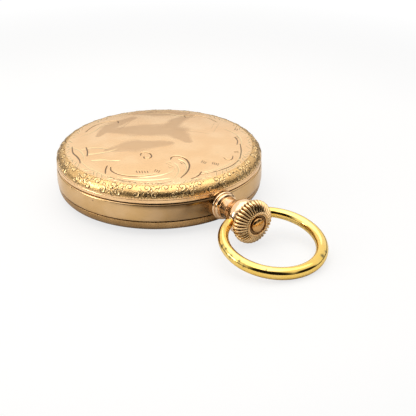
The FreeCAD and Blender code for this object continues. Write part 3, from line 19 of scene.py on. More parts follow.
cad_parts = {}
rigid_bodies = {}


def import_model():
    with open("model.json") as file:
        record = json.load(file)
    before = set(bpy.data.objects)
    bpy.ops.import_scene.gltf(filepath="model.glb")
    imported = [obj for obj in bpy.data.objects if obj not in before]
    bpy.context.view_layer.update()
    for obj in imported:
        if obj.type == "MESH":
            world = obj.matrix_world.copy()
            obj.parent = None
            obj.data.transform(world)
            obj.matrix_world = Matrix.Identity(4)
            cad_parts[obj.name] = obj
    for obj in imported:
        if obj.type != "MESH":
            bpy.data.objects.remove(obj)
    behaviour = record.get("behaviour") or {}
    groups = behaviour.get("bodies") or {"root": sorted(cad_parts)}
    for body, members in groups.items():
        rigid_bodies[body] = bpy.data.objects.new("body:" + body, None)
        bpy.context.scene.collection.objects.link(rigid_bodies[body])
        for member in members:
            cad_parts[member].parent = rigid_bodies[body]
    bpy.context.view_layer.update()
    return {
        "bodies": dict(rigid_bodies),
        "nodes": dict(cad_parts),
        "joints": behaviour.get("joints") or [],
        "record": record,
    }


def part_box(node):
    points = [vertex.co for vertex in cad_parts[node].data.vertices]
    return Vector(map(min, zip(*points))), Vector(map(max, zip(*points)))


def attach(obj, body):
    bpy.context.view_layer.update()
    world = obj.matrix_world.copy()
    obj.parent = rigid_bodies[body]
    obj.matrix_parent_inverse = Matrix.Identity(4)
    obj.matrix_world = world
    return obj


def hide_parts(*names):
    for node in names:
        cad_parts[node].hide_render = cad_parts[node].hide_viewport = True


LOG = logging.getLogger("pocket_watch")
MM = 0.001
TAU = 2 * math.pi

RGB = Tuple[float, float, float]
Point2 = Tuple[float, float]
Array = np.ndarray
Value = Union[float, int, "Sock"]
Stroke = Tuple[Array, float, float, float, float]

LID_BARRELS = (1.75, 4.3)  # a lid's hinge barrels lie between these, on either side of the middle
LID_ROOM = (1.72, 4.4)  # the room they take from the case ring
CASE_BARREL = 1.7  # the case's own barrel reaches this far to either side
CASE_ROOM = 1.78  # the room it takes from a lid
BARREL_ROOM = 0.84  # radius of the room cut round an outer hinge


# ====================================================================== shader graphs
class Sock:
    """One output of a shader node, with arithmetic for single values."""

    def __init__(self, graph: "Graph", socket: Optional[bpy.types.NodeSocket]) -> None:
        """Wraps a socket of a graph; None stands for a node that ends the tree."""
        self.graph = graph
        self.socket = socket

    def _math(self, operation: str, first: Value, second: Value = 0.0) -> "Sock":
        """Adds one Math node."""
        return self.graph.node("ShaderNodeMath", {"operation": operation}, {0: first, 1: second})

    def __add__(self, other: Value) -> "Sock":
        """self + other."""
        return self._math("ADD", self, other)

    __radd__ = __add__

    def __mul__(self, other: Value) -> "Sock":
        """self * other."""
        return self._math("MULTIPLY", self, other)

    __rmul__ = __mul__

    def __sub__(self, other: Value) -> "Sock":
        """self - other."""
        return self._math("SUBTRACT", self, other)

    def __rsub__(self, other: Value) -> "Sock":
        """other - self."""
        return self._math("SUBTRACT", other, self)

    def __truediv__(self, other: Value) -> "Sock":
        """self / other."""
        return self._math("DIVIDE", self, other)

    def __rtruediv__(self, other: Value) -> "Sock":
        """other / self."""
        return self._math("DIVIDE", other, self)

    def __pow__(self, other: Value) -> "Sock":
        """self raised to other."""
        return self._math("POWER", self, other)

    def __rpow__(self, other: Value) -> "Sock":
        """other raised to self."""
        return self._math("POWER", other, self)

    def sine(self) -> "Sock":
        """The sine of the value."""
        return self._math("SINE", self)

    def bearing(self, other: "Sock") -> "Sock":
        """The angle whose tangent is other / self."""
        return self._math("ARCTAN2", other, self)

    def fraction(self) -> "Sock":
        """The part of the value after the point."""
        return self._math("FRACT", self)

    def ramp(self, low: float, high: float) -> "Sock":
        """0 below low, 1 above high and a smooth rise between them."""
        return self.graph.node(
            "ShaderNodeMapRange",
            {"interpolation_type": "SMOOTHSTEP", "clamp": True},
            {"Value": self, "From Min": low, "From Max": high, "To Min": 0.0, "To Max": 1.0},
        )


class Graph:
    """A node tree being written, for a material or for the world."""

    def __init__(self, tree: bpy.types.NodeTree) -> None:
        """Starts from an empty tree."""
        self.tree = tree
        tree.nodes.clear()

    def node(
        self,
        kind: str,
        settings: Optional[Mapping[str, Any]] = None,
        inputs: Optional[Mapping[Union[int, str], Any]] = None,
        out: Union[int, str] = 0,
    ) -> Sock:
        """Adds any node.

        Args:
            kind: The node's type name.
            settings: Its own properties, set before its sockets; "stops" is a ramp's list of (place, colour).
            inputs: Values or links by socket number or name.
            out: The output wanted, by number or name.

        Returns:
            The wanted output.
        """
        made = self.tree.nodes.new(kind)
        for name, value in (settings or {}).items():
            if name == "stops":
                elements = made.color_ramp.elements
                while len(elements) < len(value):
                    elements.new(0.5)
                for element, (place, colour) in zip(elements, value):
                    element.position = place
                    element.color = (*colour, 1.0)
            else:
                setattr(made, name, value)
        for key, value in (inputs or {}).items():
            if isinstance(value, Sock):
                self.tree.links.new(value.socket, made.inputs[key])
            elif isinstance(value, tuple) and len(value) == 3 and made.inputs[key].type == "RGBA":
                made.inputs[key].default_value = (*value, 1.0)
            else:
                made.inputs[key].default_value = value
        return Sock(self, made.outputs[out] if len(made.outputs) else None)

    def millimetres(self) -> Sock:
        """The object's own coordinates, in millimetres."""
        own = self.node("ShaderNodeTexCoord", out="Object")
        return self.stretched(own, (1000.0, 1000.0, 1000.0))

    def stretched(self, vector: Sock, scale: RGB, turn: float = 0.0) -> Sock:
        """A vector turned about Z and scaled along each axis."""
        if turn:
            vector = self.node(
                "ShaderNodeVectorRotate", {"rotation_type": "Z_AXIS"}, {"Vector": vector, "Angle": turn}
            )
        return self.node("ShaderNodeVectorMath", {"operation": "MULTIPLY"}, {0: vector, 1: scale})

    def axis(self, vector: Sock, name: str) -> Sock:
        """One component of a vector."""
        return self.node("ShaderNodeSeparateXYZ", inputs={0: vector}, out=name)

    def noise(self, vector: Sock, scale: float, detail: float = 2.0, rough: float = 0.5) -> Sock:
        """Smooth noise from 0 to 1."""
        values = {"Vector": vector, "Scale": scale, "Detail": detail, "Roughness": rough}
        return self.node("ShaderNodeTexNoise", {"noise_dimensions": "3D"}, values)

    def cells(self, vector: Sock, scale: float, feature: str = "F1") -> Sock:
        """Distance to scattered points."""
        values = {"Vector": vector, "Scale": scale}
        return self.node("ShaderNodeTexVoronoi", {"feature": feature}, values, "Distance")

    def attribute(self, name: str) -> Sock:
        """A number stored on the mesh."""
        return self.node("ShaderNodeAttribute", {"attribute_name": name}, out="Fac")

    def mix(self, first: Union[RGB, Sock], second: Union[RGB, Sock], share: Value) -> Sock:
        """A colour between two others."""
        return self.node("ShaderNodeMix", {"data_type": "RGBA"}, {0: share, 6: first, 7: second}, 2)

    def bump(self, height: Value, distance: float, under: Optional[Sock] = None) -> Sock:
        """A normal that follows a height; distance is in millimetres."""
        values: Dict[Union[int, str], Any] = {"Height": height, "Distance": distance * MM, "Strength": 1.0}
        if under is not None:
            values["Normal"] = under
        return self.node("ShaderNodeBump", inputs=values)

    def surface(self, **values: Any) -> None:
        """Ends a material in a Principled surface with these sockets; names use _ for a space."""
        named = {name.replace("_", " "): value for name, value in values.items()}
        shader = self.node("ShaderNodeBsdfPrincipled", inputs=named)
        self.node("ShaderNodeOutputMaterial", inputs={"Surface": shader})


def new_material(name: str) -> Tuple[bpy.types.Material, Graph]:
    """An empty node material and its graph."""
    made = bpy.data.materials.new(name)
    made.use_nodes = True
    return made, Graph(made.node_tree)


# ====================================================================== finishes
@dataclass(frozen=True)
class Gold:
    """Worn gold: two tones that drift over the surface, hairline scratches and a soft bloom, with optional
    pits and optional painted shade near the pendant and under the lip.
    """

    name: str
    tint: RGB
    worn: RGB
    deep: RGB
    roughness: float = 0.16
    bloom: float = 0.10
    scratches: float = 0.004
    pits: float = 0.0
    # painted shade: how strongly shade and dark reflection near the pendant and under the lip are painted
    # into the colour
    painted_shade: float = 0.0

    def tones(self, g: Graph, p: Sock) -> Tuple[Sock, Sock, Sock]:
        """Colour, roughness and height of the plain surface."""
        drift = g.noise(p, 0.16, 3.0).ramp(0.35, 0.68)
        cloud = g.noise(p, 0.7, 4.0, 0.6)
        colour = g.mix(g.mix(self.tint, self.worn, drift), self.deep, cloud.ramp(0.60, 0.86) * 0.35)
        rubbed = g.noise(g.stretched(p, (0.35, 5.5, 1.0), 0.9), 1.0, 3.0, 0.65)
        crossed = g.noise(g.stretched(p, (6.5, 0.4, 1.0), 0.35), 1.0, 3.0, 0.65)
        lines = rubbed.ramp(0.52, 0.58) * 0.6 + crossed.ramp(0.55, 0.60) * 0.4
        rough = cloud * self.bloom + lines * 0.05 + (self.roughness - 0.05)
        height = rubbed + crossed + g.noise(p, 3.0, 3.0) * 0.6
        return colour, rough, height

    def build(self) -> bpy.types.Material:
        """Makes the material."""
        made, g = new_material(self.name)
        p = g.millimetres()
        colour, rough, height = self.tones(g, p)
        normal = g.bump(height, self.scratches)
        # Painted shade and dark reflection: darker towards the pendant and under the cover's lip, stronger on
        # the +X side.
        if self.painted_shade:
            pendant_side = g.axis(p, "Y").ramp(14.0, 24.8)
            under_lip = g.axis(p, "Z").ramp(6.6, 8.1) * g.axis(p, "Y").ramp(4.0, 18.0)
            shade_amount = pendant_side * 0.8 + under_lip * 0.6
            shade_amount = shade_amount * (g.noise(p, 0.25, 3.0) * 0.5 + 0.7) * (g.axis(p, "X").ramp(-4.0, 3.0) * 0.85 + 0.15)
            colour = g.mix(colour, (0.10, 0.05, 0.018), shade_amount.ramp(0.0, 1.15) * self.painted_shade)
        if self.pits:
            pit = 1 - g.cells(p, 0.28).ramp(0.035, 0.075)
            colour = g.mix(colour, (0.10, 0.055, 0.025), pit * self.pits)
            normal = g.bump(1 - pit, 0.05, normal)
        g.surface(Base_Color=colour, Roughness=rough, Metallic=1.0, Normal=normal)
        return made


@dataclass(frozen=True)
class EngravedGold(Gold):
    """Gold that carries cut work: the mesh stores where it is cut, bright-cut, stippled or clouded; the
    colour gets painted shade in the cuts and painted highlight on the bright-cut and raised work.
    """

    # pale is the painted highlight colour; shade is the painted shade colour in the cuts.
    pale: RGB = (1.0, 0.77, 0.42)
    shade: RGB = (0.12, 0.06, 0.022)
    yellow: RGB = (0.72, 0.45, 0.175)

    def build(self) -> bpy.types.Material:
        """Makes the material."""
        made, g = new_material(self.name)
        p = g.millimetres()
        colour, rough, height = self.tones(g, p)
        cut, pale, ground = g.attribute("cut"), g.attribute("pale"), g.attribute("ground")
        cloud = g.attribute("cloud")
        streak = g.noise(g.stretched(p, (0.16, 0.34, 1.0), 0.65), 1.0, 4.0, 0.62)
        patch = g.noise(g.stretched(p, (0.30, 0.62, 1.0), 0.65), 1.0, 2.0, 0.5)
        dull = (cloud * 1.1 + streak * 0.9 + patch * 0.6 - 0.75).ramp(0.20, 1.05) * cloud.ramp(0.0, 0.45)
        colour = g.mix(colour, self.deep, dull * 0.75)
        colour = g.mix(colour, self.yellow, ground * 0.9)
        # Painted highlight: bright-cut strokes, raised scrolls and crown flute ridges are lightened in
        # colour.
        colour = g.mix(colour, self.pale, pale * 0.75)
        # Painted shade: cut grooves, edge nicks and crown flute valleys are darkened in colour; on the bow
        # the same darkening marks its nicks.
        colour = g.mix(colour, self.shade, cut.ramp(0.05, 0.75) * 0.9)
        grain = g.cells(p, 4.2)
        rough = rough + dull * 0.12 + ground * 0.06 - pale * 0.05
        normal = g.bump(grain * ground, 0.03, g.bump(height, self.scratches))
        g.surface(Base_Color=colour, Roughness=rough, Metallic=1.0, Normal=normal)
        return made


@dataclass(frozen=True)
class Steel:
    """Ground and polished steel, plain or blued."""

    name: str
    tint: RGB
    shade: RGB
    roughness: float = 0.2
    grain: float = 0.003

    def build(self) -> bpy.types.Material:
        """Makes the material."""
        made, g = new_material(self.name)
        p = g.millimetres()
        drift = g.noise(p, 0.9, 3.0)
        lines = g.noise(g.stretched(p, (1.2, 26.0, 1.0), 0.5), 1.0, 2.0)
        colour = g.mix(self.tint, self.shade, drift.ramp(0.4, 0.75) * 0.6)
        rough = drift * 0.12 + (self.roughness - 0.04)
        normal = g.bump(lines + drift * 0.5, self.grain)
        g.surface(Base_Color=colour, Roughness=rough, Metallic=1.0, Normal=normal)
        return made


class Decoration(Enum):
    """How a plate of the movement is decorated."""

    STRIPES = "stripes"
    CIRCLES = "circles"
    SNAIL = "snail"


@dataclass(frozen=True)
class Plated:
    """Nickel or gilt plate with a decorated surface."""

    name: str
    tint: RGB
    shade: RGB
    decoration: Decoration
    pitch: float = 1.5
    depth: float = 0.006
    roughness: float = 0.24
    centre: Point2 = (0.0, 0.0)

    def pattern(self, g: Graph, p: Sock) -> Sock:
        """Height of the decoration, 0 to 1."""
        if self.decoration is Decoration.STRIPES:
            turned = g.stretched(p, (1.0, 1.0, 1.0), 0.6)
            return (g.axis(turned, "X") / self.pitch).fraction()
        if self.decoration is Decoration.CIRCLES:
            rings = g.cells(p, 1.0 / self.pitch) * (TAU * 4.5)
            return rings.sine() * 0.5 + 0.5
        x, y = g.axis(p, "X") - self.centre[0], g.axis(p, "Y") - self.centre[1]
        away = (x * x + y * y) ** 0.5
        return (away * (TAU / self.pitch) + x.bearing(y) * 2.0).sine() * 0.5 + 0.5

    def build(self) -> bpy.types.Material:
        """Makes the material."""
        made, g = new_material(self.name)
        p = g.millimetres()
        worked = self.pattern(g, p)
        grain = g.noise(g.stretched(p, (1.5, 14.0, 1.0), 0.6), 1.0, 3.0)
        colour = g.mix(self.tint, self.shade, worked * 0.45 + g.noise(p, 0.4, 3.0) * 0.3)
        rough = worked * 0.12 + grain * 0.08 + (self.roughness - 0.08)
        normal = g.bump(grain, 0.004, g.bump(worked, self.depth))
        g.surface(Base_Color=colour, Roughness=rough, Metallic=1.0, Normal=normal)
        return made


@dataclass(frozen=True)
class Clear:
    """Glass or ruby: clear, faintly tinted, with light wear in the roughness."""

    name: str
    tint: RGB
    roughness: float = 0.02
    transmission: float = 1.0
    index: float = 1.5

    def build(self) -> bpy.types.Material:
        """Makes the material."""
        made, g = new_material(self.name)
        p = g.millimetres()
        wear = g.noise(p, 1.2, 4.0, 0.6)
        colour = g.mix(self.tint, tuple(c * 0.86 for c in self.tint), wear.ramp(0.45, 0.8))
        g.surface(
            Base_Color=colour,
            Roughness=wear.ramp(0.55, 0.85) * 0.04 + self.roughness,
            Transmission_Weight=self.transmission,
            IOR=self.index,
        )
        return made


@dataclass(frozen=True)
class Enamel:
    """Fired enamel: a pale body with the faintest mottling under a glossy coat."""

    name: str
    tint: RGB
    shade: RGB
    gloss: float = 0.12

    def build(self) -> bpy.types.Material:
        """Makes the material."""
        made, g = new_material(self.name)
        p = g.millimetres()
        mottle = g.noise(p, 0.5, 4.0, 0.55)
        speck = 1 - g.cells(p, 0.9).ramp(0.03, 0.06)
        colour = g.mix(g.mix(self.tint, self.shade, mottle.ramp(0.4, 0.8)), (0.3, 0.27, 0.22), speck * 0.25)
        g.surface(
            Base_Color=colour,
            Roughness=mottle * 0.06 + self.gloss,
            Coat_Weight=0.6,
            Normal=g.bump(mottle, 0.01),
        )
        return made


@dataclass(frozen=True)
class Paper:
    """The studio's pale sweep."""

    name: str = "studio_floor"
    tint: RGB = (0.66, 0.65, 0.63)
    lift: float = 0.72
    reach: float = 190.0

    def build(self) -> bpy.types.Material:
        """Makes the material."""
        made, g = new_material(self.name)
        grain = g.noise(g.millimetres(), 0.05, 2.0)
        where = g.millimetres()
        x, y = g.axis(where, "X"), g.axis(where, "Y")
        far = ((x * x + y * y) ** 0.5).ramp(self.reach * 0.4, self.reach)
        pale = g.mix(self.tint, tuple(c * 0.985 for c in self.tint), grain)
        colour = g.mix(pale, (0.03, 0.028, 0.025), far)
        paper = g.node("ShaderNodeBsdfPrincipled", inputs={"Base Color": colour, "Roughness": 0.9})
        lit = g.node("ShaderNodeEmission", inputs={"Color": (1.0, 1.0, 1.0), "Strength": 1.04})
        plain = g.node("ShaderNodeLightPath", out="Is Camera Ray")
        share = plain * (far * (1 - self.lift) + self.lift)
        shader = g.node("ShaderNodeMixShader", inputs={0: share, 1: paper, 2: lit})
        g.node("ShaderNodeOutputMaterial", inputs={"Surface": shader})
        return made


class Finishes:
    """Every material of the watch, made once."""

    def __init__(self) -> None:
        """Builds the set."""
        rose, deep_rose = (0.91, 0.585, 0.30), (0.52, 0.31, 0.16)
        self.cover = EngravedGold(
            "cover_gold", rose, (0.95, 0.645, 0.355), (0.60, 0.385, 0.205),
            roughness=0.18, bloom=0.14, scratches=0.006,
        ).build()
        # Painted shade: the band, bezel, crown and boss golds are darker copies of the cover's gold, tuned to
        # stand in for their shade and dark reflections; the band also gets painted shade near the pendant and
        # under the lip.
        self.band = Gold(
            "band_gold", (0.66, 0.42, 0.185), (0.72, 0.48, 0.25), (0.36, 0.21, 0.10),
            roughness=0.17, bloom=0.12, scratches=0.005, pits=0.8, painted_shade=0.85,
        ).build()
        # Painted shade: the bezel's dark tint stands in for the shadowed floor it reflects.
        self.bezel = Gold(
            "bezel_gold", (0.40, 0.235, 0.095), (0.52, 0.32, 0.14), (0.16, 0.085, 0.035),
            roughness=0.24, bloom=0.12,
        ).build()
        self.pendant = Gold(
            "pendant_gold", (0.92, 0.63, 0.37), (0.94, 0.69, 0.44), (0.40, 0.23, 0.11),
            roughness=0.12, bloom=0.10,
        ).build()
        # Painted shade: a darker copy of the cover's gold.
        self.crown = EngravedGold(
            "crown_gold", (0.62, 0.39, 0.18), (0.74, 0.49, 0.25), (0.22, 0.11, 0.045),
            roughness=0.15, bloom=0.12,
        ).build()
        # Painted shade: a darker copy of the cover's gold.
        self.boss = Gold(
            "boss_gold", (0.56, 0.30, 0.10), (0.66, 0.38, 0.15), (0.20, 0.09, 0.03),
            roughness=0.14, bloom=0.10,
        ).build()
        self.bow = EngravedGold(
            "bow_gold", (0.97, 0.66, 0.16), (0.97, 0.70, 0.23), (0.50, 0.37, 0.13),
            roughness=0.07, bloom=0.08, scratches=0.003, shade=(0.13, 0.12, 0.06), yellow=(0.72, 0.50, 0.14),
        ).build()
        self.inner = Gold("inner_gold", (0.93, 0.76, 0.53), (0.95, 0.80, 0.60), deep_rose, 0.12, 0.08).build()
        self.nickel = Plated(
            "striped_nickel", (0.66, 0.645, 0.61), (0.50, 0.49, 0.465), Decoration.STRIPES, pitch=1.9
        ).build()
        self.plate = Plated(
            "circled_nickel", (0.62, 0.60, 0.56), (0.48, 0.465, 0.43), Decoration.CIRCLES, pitch=1.1
        ).build()
        self.gilt = Plated(
            "gilt_train", (0.92, 0.70, 0.34), (0.74, 0.52, 0.22), Decoration.CIRCLES, pitch=1.6, depth=0.006
        ).build()
        self.steel = Steel("polished_steel", (0.64, 0.64, 0.66), (0.42, 0.42, 0.45)).build()
        self.blued = Steel("blued_steel", (0.035, 0.075, 0.36), (0.05, 0.03, 0.20), 0.14).build()
        self.glass = Clear("crystal_glass", (0.97, 0.99, 0.98)).build()
        self.ruby = Clear("ruby", (0.80, 0.03, 0.12), roughness=0.03, transmission=0.55, index=1.76).build()
        self.enamel = Enamel("dial_enamel", (0.90, 0.885, 0.84), (0.82, 0.80, 0.745)).build()
        self.print = Enamel("dial_print", (0.012, 0.012, 0.014), (0.03, 0.03, 0.035), gloss=0.2).build()
        self.floor = Paper().build()

    @staticmethod
    def snailed(name: str, centre: Point2) -> bpy.types.Material:
        """Steel with fine rings about a wheel's own centre."""
        tint, shade = (0.70, 0.70, 0.72), (0.50, 0.50, 0.53)
        snail = Plated(
            name, tint, shade, Decoration.SNAIL, pitch=0.42, depth=0.004, roughness=0.2, centre=centre
        )
        return snail.build()


# ====================================================================== mesh tools
def fillet(points: Sequence[Point2], radius: float, steps: int = 4, closed: bool = False) -> List[Point2]:
    """Rounds the corners of an outline.

    Args:
        points: Corners in order.
        radius: How far from each corner the rounding starts.
        steps: Pieces in each rounded corner.
        closed: True if the last corner joins the first.

    Returns:
        The rounded outline.
    """
    made: List[Point2] = []
    count = len(points)
    for k, here in enumerate(points):
        if not closed and k in (0, count - 1):
            made.append(tuple(here))
            continue
        corner = np.array(here, float)
        before = np.array(points[k - 1], float) - corner
        after = np.array(points[(k + 1) % count], float) - corner
        reach = [min(radius, 0.45 * float(np.hypot(*side))) for side in (before, after)]
        start = corner + before / max(np.hypot(*before), 1e-9) * reach[0]
        end = corner + after / max(np.hypot(*after), 1e-9) * reach[1]
        for t in np.linspace(0, 1, steps + 1):
            made.append(tuple((1 - t) ** 2 * start + 2 * t * (1 - t) * corner + t * t * end))
    return made


def spaced(points: Sequence[Point2], step: float) -> Array:
    """The same line with extra points, so that none are further apart than step."""
    made = [np.array(points[0], float)]
    for a, b in zip(points[:-1], points[1:]):
        a, b = np.array(a, float), np.array(b, float)
        parts = max(1, int(math.ceil(float(np.hypot(*(b - a))) / step)))
        made.extend(a + (b - a) * k / parts for k in range(1, parts + 1))
    return np.array(made)


def arc_through(a: Point2, b: Point2, c: Point2, count: int) -> List[Point2]:
    """Points along the circle through a, b and c, from a to c."""
    (ax, ay), (bx, by), (cx, cy) = a, b, c
    d = 2 * (ax * (by - cy) + bx * (cy - ay) + cx * (ay - by))
    ux = ((ax**2 + ay**2) * (by - cy) + (bx**2 + by**2) * (cy - ay) + (cx**2 + cy**2) * (ay - by)) / d
    uy = ((ax**2 + ay**2) * (cx - bx) + (bx**2 + by**2) * (ax - cx) + (cx**2 + cy**2) * (bx - ax)) / d
    radius = math.hypot(ax - ux, ay - uy)
    angles = np.unwrap([math.atan2(y - uy, x - ux) for x, y in (a, b, c)])
    stops = np.linspace(angles[0], angles[2], count)
    return [(ux + radius * math.cos(t), uy + radius * math.sin(t)) for t in stops]


def cap_line(radius: float, edge: float, top: float, count: int) -> List[Point2]:
    """A shallow spherical cap's line from its edge in to the axis."""
    rise = top - edge
    ball = (rise**2 + radius**2) / (2 * rise)
    return [(r, top - ball + math.sqrt(ball**2 - r**2)) for r in np.linspace(radius, 0.0, count)]


def mesh_object(
    name: str, points: Array, faces: Any, numbers: Optional[Mapping[str, Array]] = None
) -> bpy.types.Object:
    """Makes a smooth-shaded object.

    Args:
        name: The piece's name.
        points: Corners in millimetres, one row each.
        faces: Corner numbers of each face.
        numbers: Named numbers to store, one for each corner.

    Returns:
        The object, linked to the scene.
    """
    mesh = bpy.data.meshes.new(name)
    mesh.from_pydata((np.asarray(points, float).reshape(-1, 3) * MM).tolist(), [], faces)
    mesh.validate()
    for label, values in (numbers or {}).items():
        stored = mesh.attributes.new(label, "FLOAT", "POINT")
        stored.data.foreach_set("value", np.asarray(values, np.float32).ravel())
    mesh.polygons.foreach_set("use_smooth", np.ones(len(mesh.polygons), bool))
    mesh.update()
    made = bpy.data.objects.new(name, mesh)
    bpy.context.scene.collection.objects.link(made)
    return made


def grid_faces(rows: int, columns: int, closed_rows: bool) -> List[Tuple[int, ...]]:
    """Four-sided faces over a grid of points stored row by row.

    Args:
        rows: How many rows there are.
        columns: Points in each row, which runs round to its first point again.
        closed_rows: True if the last row joins the first.

    Returns:
        Corner numbers of each face.
    """
    i = np.arange(rows if closed_rows else rows - 1)[:, None]
    j = np.arange(columns)[None, :]
    i2, j2 = (i + 1) % rows, (j + 1) % columns
    quads = np.stack([i * columns + j, i * columns + j2, i2 * columns + j2, i2 * columns + j], -1)
    return quads.reshape(-1, 4).tolist()


@dataclass
class Turned:
    """A turned surface: an outline of (radius, height) swept round an axis, with room for relief.

    The outline runs so that its left side is outside the material.
    """

    outline: Array
    segments: int
    closed: bool = False

    def __post_init__(self) -> None:
        """Works out the grid."""
        line = np.asarray(self.outline, float)
        if self.closed and np.allclose(line[0], line[-1]):
            line = line[:-1]
        self.outline = line
        if self.closed:
            tangent = np.roll(line, -1, 0) - np.roll(line, 1, 0)
        else:
            tangent = np.gradient(line, axis=0)
        size = np.maximum(np.hypot(tangent[:, 0], tangent[:, 1]), 1e-9)
        self.normal = np.stack([tangent[:, 1] / size, -tangent[:, 0] / size], -1)
        steps = np.hypot(*np.diff(line, axis=0).T)
        self.along = np.concatenate([[0.0], np.cumsum(steps)])
        self.angle = np.arange(self.segments) * TAU / self.segments
        self.relief = np.zeros((len(line), self.segments))

    def points(self) -> Array:
        """Corners in the order (outline, angle), about +Z."""
        r = self.outline[:, :1] + self.relief * self.normal[:, :1]
        z = self.outline[:, 1:] + self.relief * self.normal[:, 1:]
        return np.stack([r * np.cos(self.angle), r * np.sin(self.angle), z + 0 * self.angle], -1)

    def faces(self) -> List[Tuple[int, ...]]:
        """Faces of the grid; the rows that end on the axis stay as slender fans."""
        return grid_faces(len(self.outline), self.segments, self.closed)


def weld(thing: bpy.types.Object, distance: float = 1e-7) -> None:
    """Joins corners that lie on each other, such as those on a turned piece's axis."""
    work = bmesh.new()
    work.from_mesh(thing.data)
    bmesh.ops.remove_doubles(work, verts=work.verts, dist=distance)
    bmesh.ops.recalc_face_normals(work, faces=work.faces)
    work.to_mesh(thing.data)
    work.free()
    thing.data.polygons.foreach_set("use_smooth", np.ones(len(thing.data.polygons), bool))
    thing.data.update()


def welded(
    name: str, points: Array, faces: Any, numbers: Optional[Mapping[str, Array]] = None
) -> bpy.types.Object:
    """Makes an object as mesh_object does, then joins the corners that lie on each other."""
    thing = mesh_object(name, points, faces, numbers)
    weld(thing)
    return thing


def ring_outline(corners: Sequence[Point2], radius: float, step: float, steps: int = 4) -> Array:
    """A closed outline with rounded corners and points no further apart than step."""
    rounded = fillet(corners, radius, steps, True)
    return spaced(rounded + rounded[:1], step)


def about_y(points: Array, height: float) -> Array:
    """Turns points made about +Z so that their axis is the stem's, at this height."""
    x, y, z = points[..., 0], points[..., 1], points[..., 2]
    return np.stack([x, z, height - y], -1)


def about_x(points: Array, y: float, height: float) -> Array:
    """Turns points made about +Z so that their axis runs along X through (y, height)."""
    a, b, c = points[..., 0], points[..., 1], points[..., 2]
    return np.stack([c, y + a, height + b], -1)


def relieve(points: Array, x0: float, x1: float, y: float, z: float, radius: float) -> Array:
    """Pushes points out of a round space along X, to make room for a hinge barrel.

    Args:
        points: Corners in millimetres.
        x0: Where the space starts.
        x1: Where it ends.
        y: Its axis along Y.
        z: Its axis along Z.
        radius: Its radius.

    Returns:
        The moved corners.
    """
    dy, dz = points[..., 1] - y, points[..., 2] - z
    gap = np.hypot(dy, dz)
    inside = (points[..., 0] > x0) & (points[..., 0] < x1) & (gap < radius)
    scale = np.where(inside, radius / np.maximum(gap, 1e-6), 1.0)
    moved = points.copy()
    moved[..., 1] = y + dy * scale
    moved[..., 2] = z + dz * scale
    return moved


def smooth_line(points: Sequence[Point2], per_part: int = 8) -> Array:
    """A Catmull-Rom line through the given points."""
    p = np.array([points[0], *points, points[-1]], float)
    p[0] = 2 * p[1] - p[2]
    p[-1] = 2 * p[-2] - p[-3]
    made = []
    for k in range(1, len(p) - 2):
        a, b, c, d = p[k - 1], p[k], p[k + 1], p[k + 2]
        for t in np.linspace(0, 1, per_part, endpoint=False):
            square, cube = 2 * a - 5 * b + 4 * c - d, 3 * b - a - 3 * c + d
            made.append(0.5 * (2 * b + (c - a) * t + square * t**2 + cube * t**3))
    made.append(p[-2])
    return np.array(made)


def spiral(centre: Point2, start: float, end: float, first: float, turns: float, count: int = 26) -> Array:
    """A curl whose radius runs from start to end while it turns."""
    t = np.linspace(0, 1, count)
    angle = first + turns * TAU * t
    radius = start + (end - start) * t**0.8
    return np.stack([centre[0] + radius * np.cos(angle), centre[1] + radius * np.sin(angle)], -1)


class Graver:
    """Cuts strokes into a sheet of points and keeps what it has done to each."""

    def __init__(self, flat: Array) -> None:
        """Starts on uncut points, given by their two coordinates on the surface."""
        self.flat = flat.reshape(-1, 2)
        count = len(self.flat)
        self.height = np.zeros(count)
        self.cut = np.zeros(count)
        self.pale = np.zeros(count)
        order = np.argsort(self.flat[:, 0], kind="stable")
        self.order = order
        self.sorted = self.flat[order, 0]

    def near(self, line: Array, reach: float) -> Array:
        """Numbers of the points in the box round a line."""
        low, high = line.min(0) - reach, line.max(0) + reach
        a, b = np.searchsorted(self.sorted, [low[0], high[0]])
        found = self.order[a:b]
        y = self.flat[found, 1]
        return found[(y >= low[1]) & (y <= high[1])]

    @staticmethod
    def distance(points: Array, line: Array, widths: Array) -> Array:
        """How far each point is from a line.

        Args:
            points: The points.
            line: Points along the line.
            widths: Half its width at each of them.

        Returns:
            The distances, in units of the width there.
        """
        best = np.full(len(points), 9.0)
        for k in range(len(line) - 1):
            a, b = line[k], line[k + 1]
            d = b - a
            size = max(float(d @ d), 1e-12)
            t = np.clip(((points - a) @ d) / size, 0, 1)
            off = points - (a + t[:, None] * d)
            width = widths[k] + t * (widths[k + 1] - widths[k])
            share = np.hypot(off[:, 0], off[:, 1]) / np.maximum(width, 1e-4)
            best = np.where(share < best, share, best)
        return best

    def stroke(
        self, line: Array, width: float, depth: float, dark: float = 1.0, pale: float = 0.0, leaf: float = 0.7
    ) -> None:
        """One cut that swells in the middle and tapers at its ends.

        Args:
            line: Points along it.
            width: Half its width at the widest.
            depth: How deep it is there; below 0 it stands up.
            dark: How much painted shade the cut gets in the colour.
            pale: How much painted highlight the bright-cut gets in the colour.
            leaf: How soon it swells.
        """
        t = np.linspace(0, 1, len(line))
        swell = np.maximum(np.sin(math.pi * (0.04 + 0.92 * t)), 0.0) ** leaf
        found = self.near(line, width * 1.8)
        if not len(found):
            return
        share = self.distance(self.flat[found], line, width * swell + 0.01)
        groove = np.clip(1 - share, 0, 1)
        burr = np.exp(-(((share - 1.25) / 0.28) ** 2)) * 0.25
        if depth >= 0:
            lowered = np.minimum(self.height[found], -depth * groove)
            self.height[found] = lowered + depth * burr * (groove <= 0)
        else:
            self.height[found] = np.maximum(self.height[found], -depth * groove)
        soft = groove**0.6
        self.cut[found] = np.maximum(self.cut[found], soft * dark)
        self.pale[found] = np.maximum(self.pale[found], soft * pale)


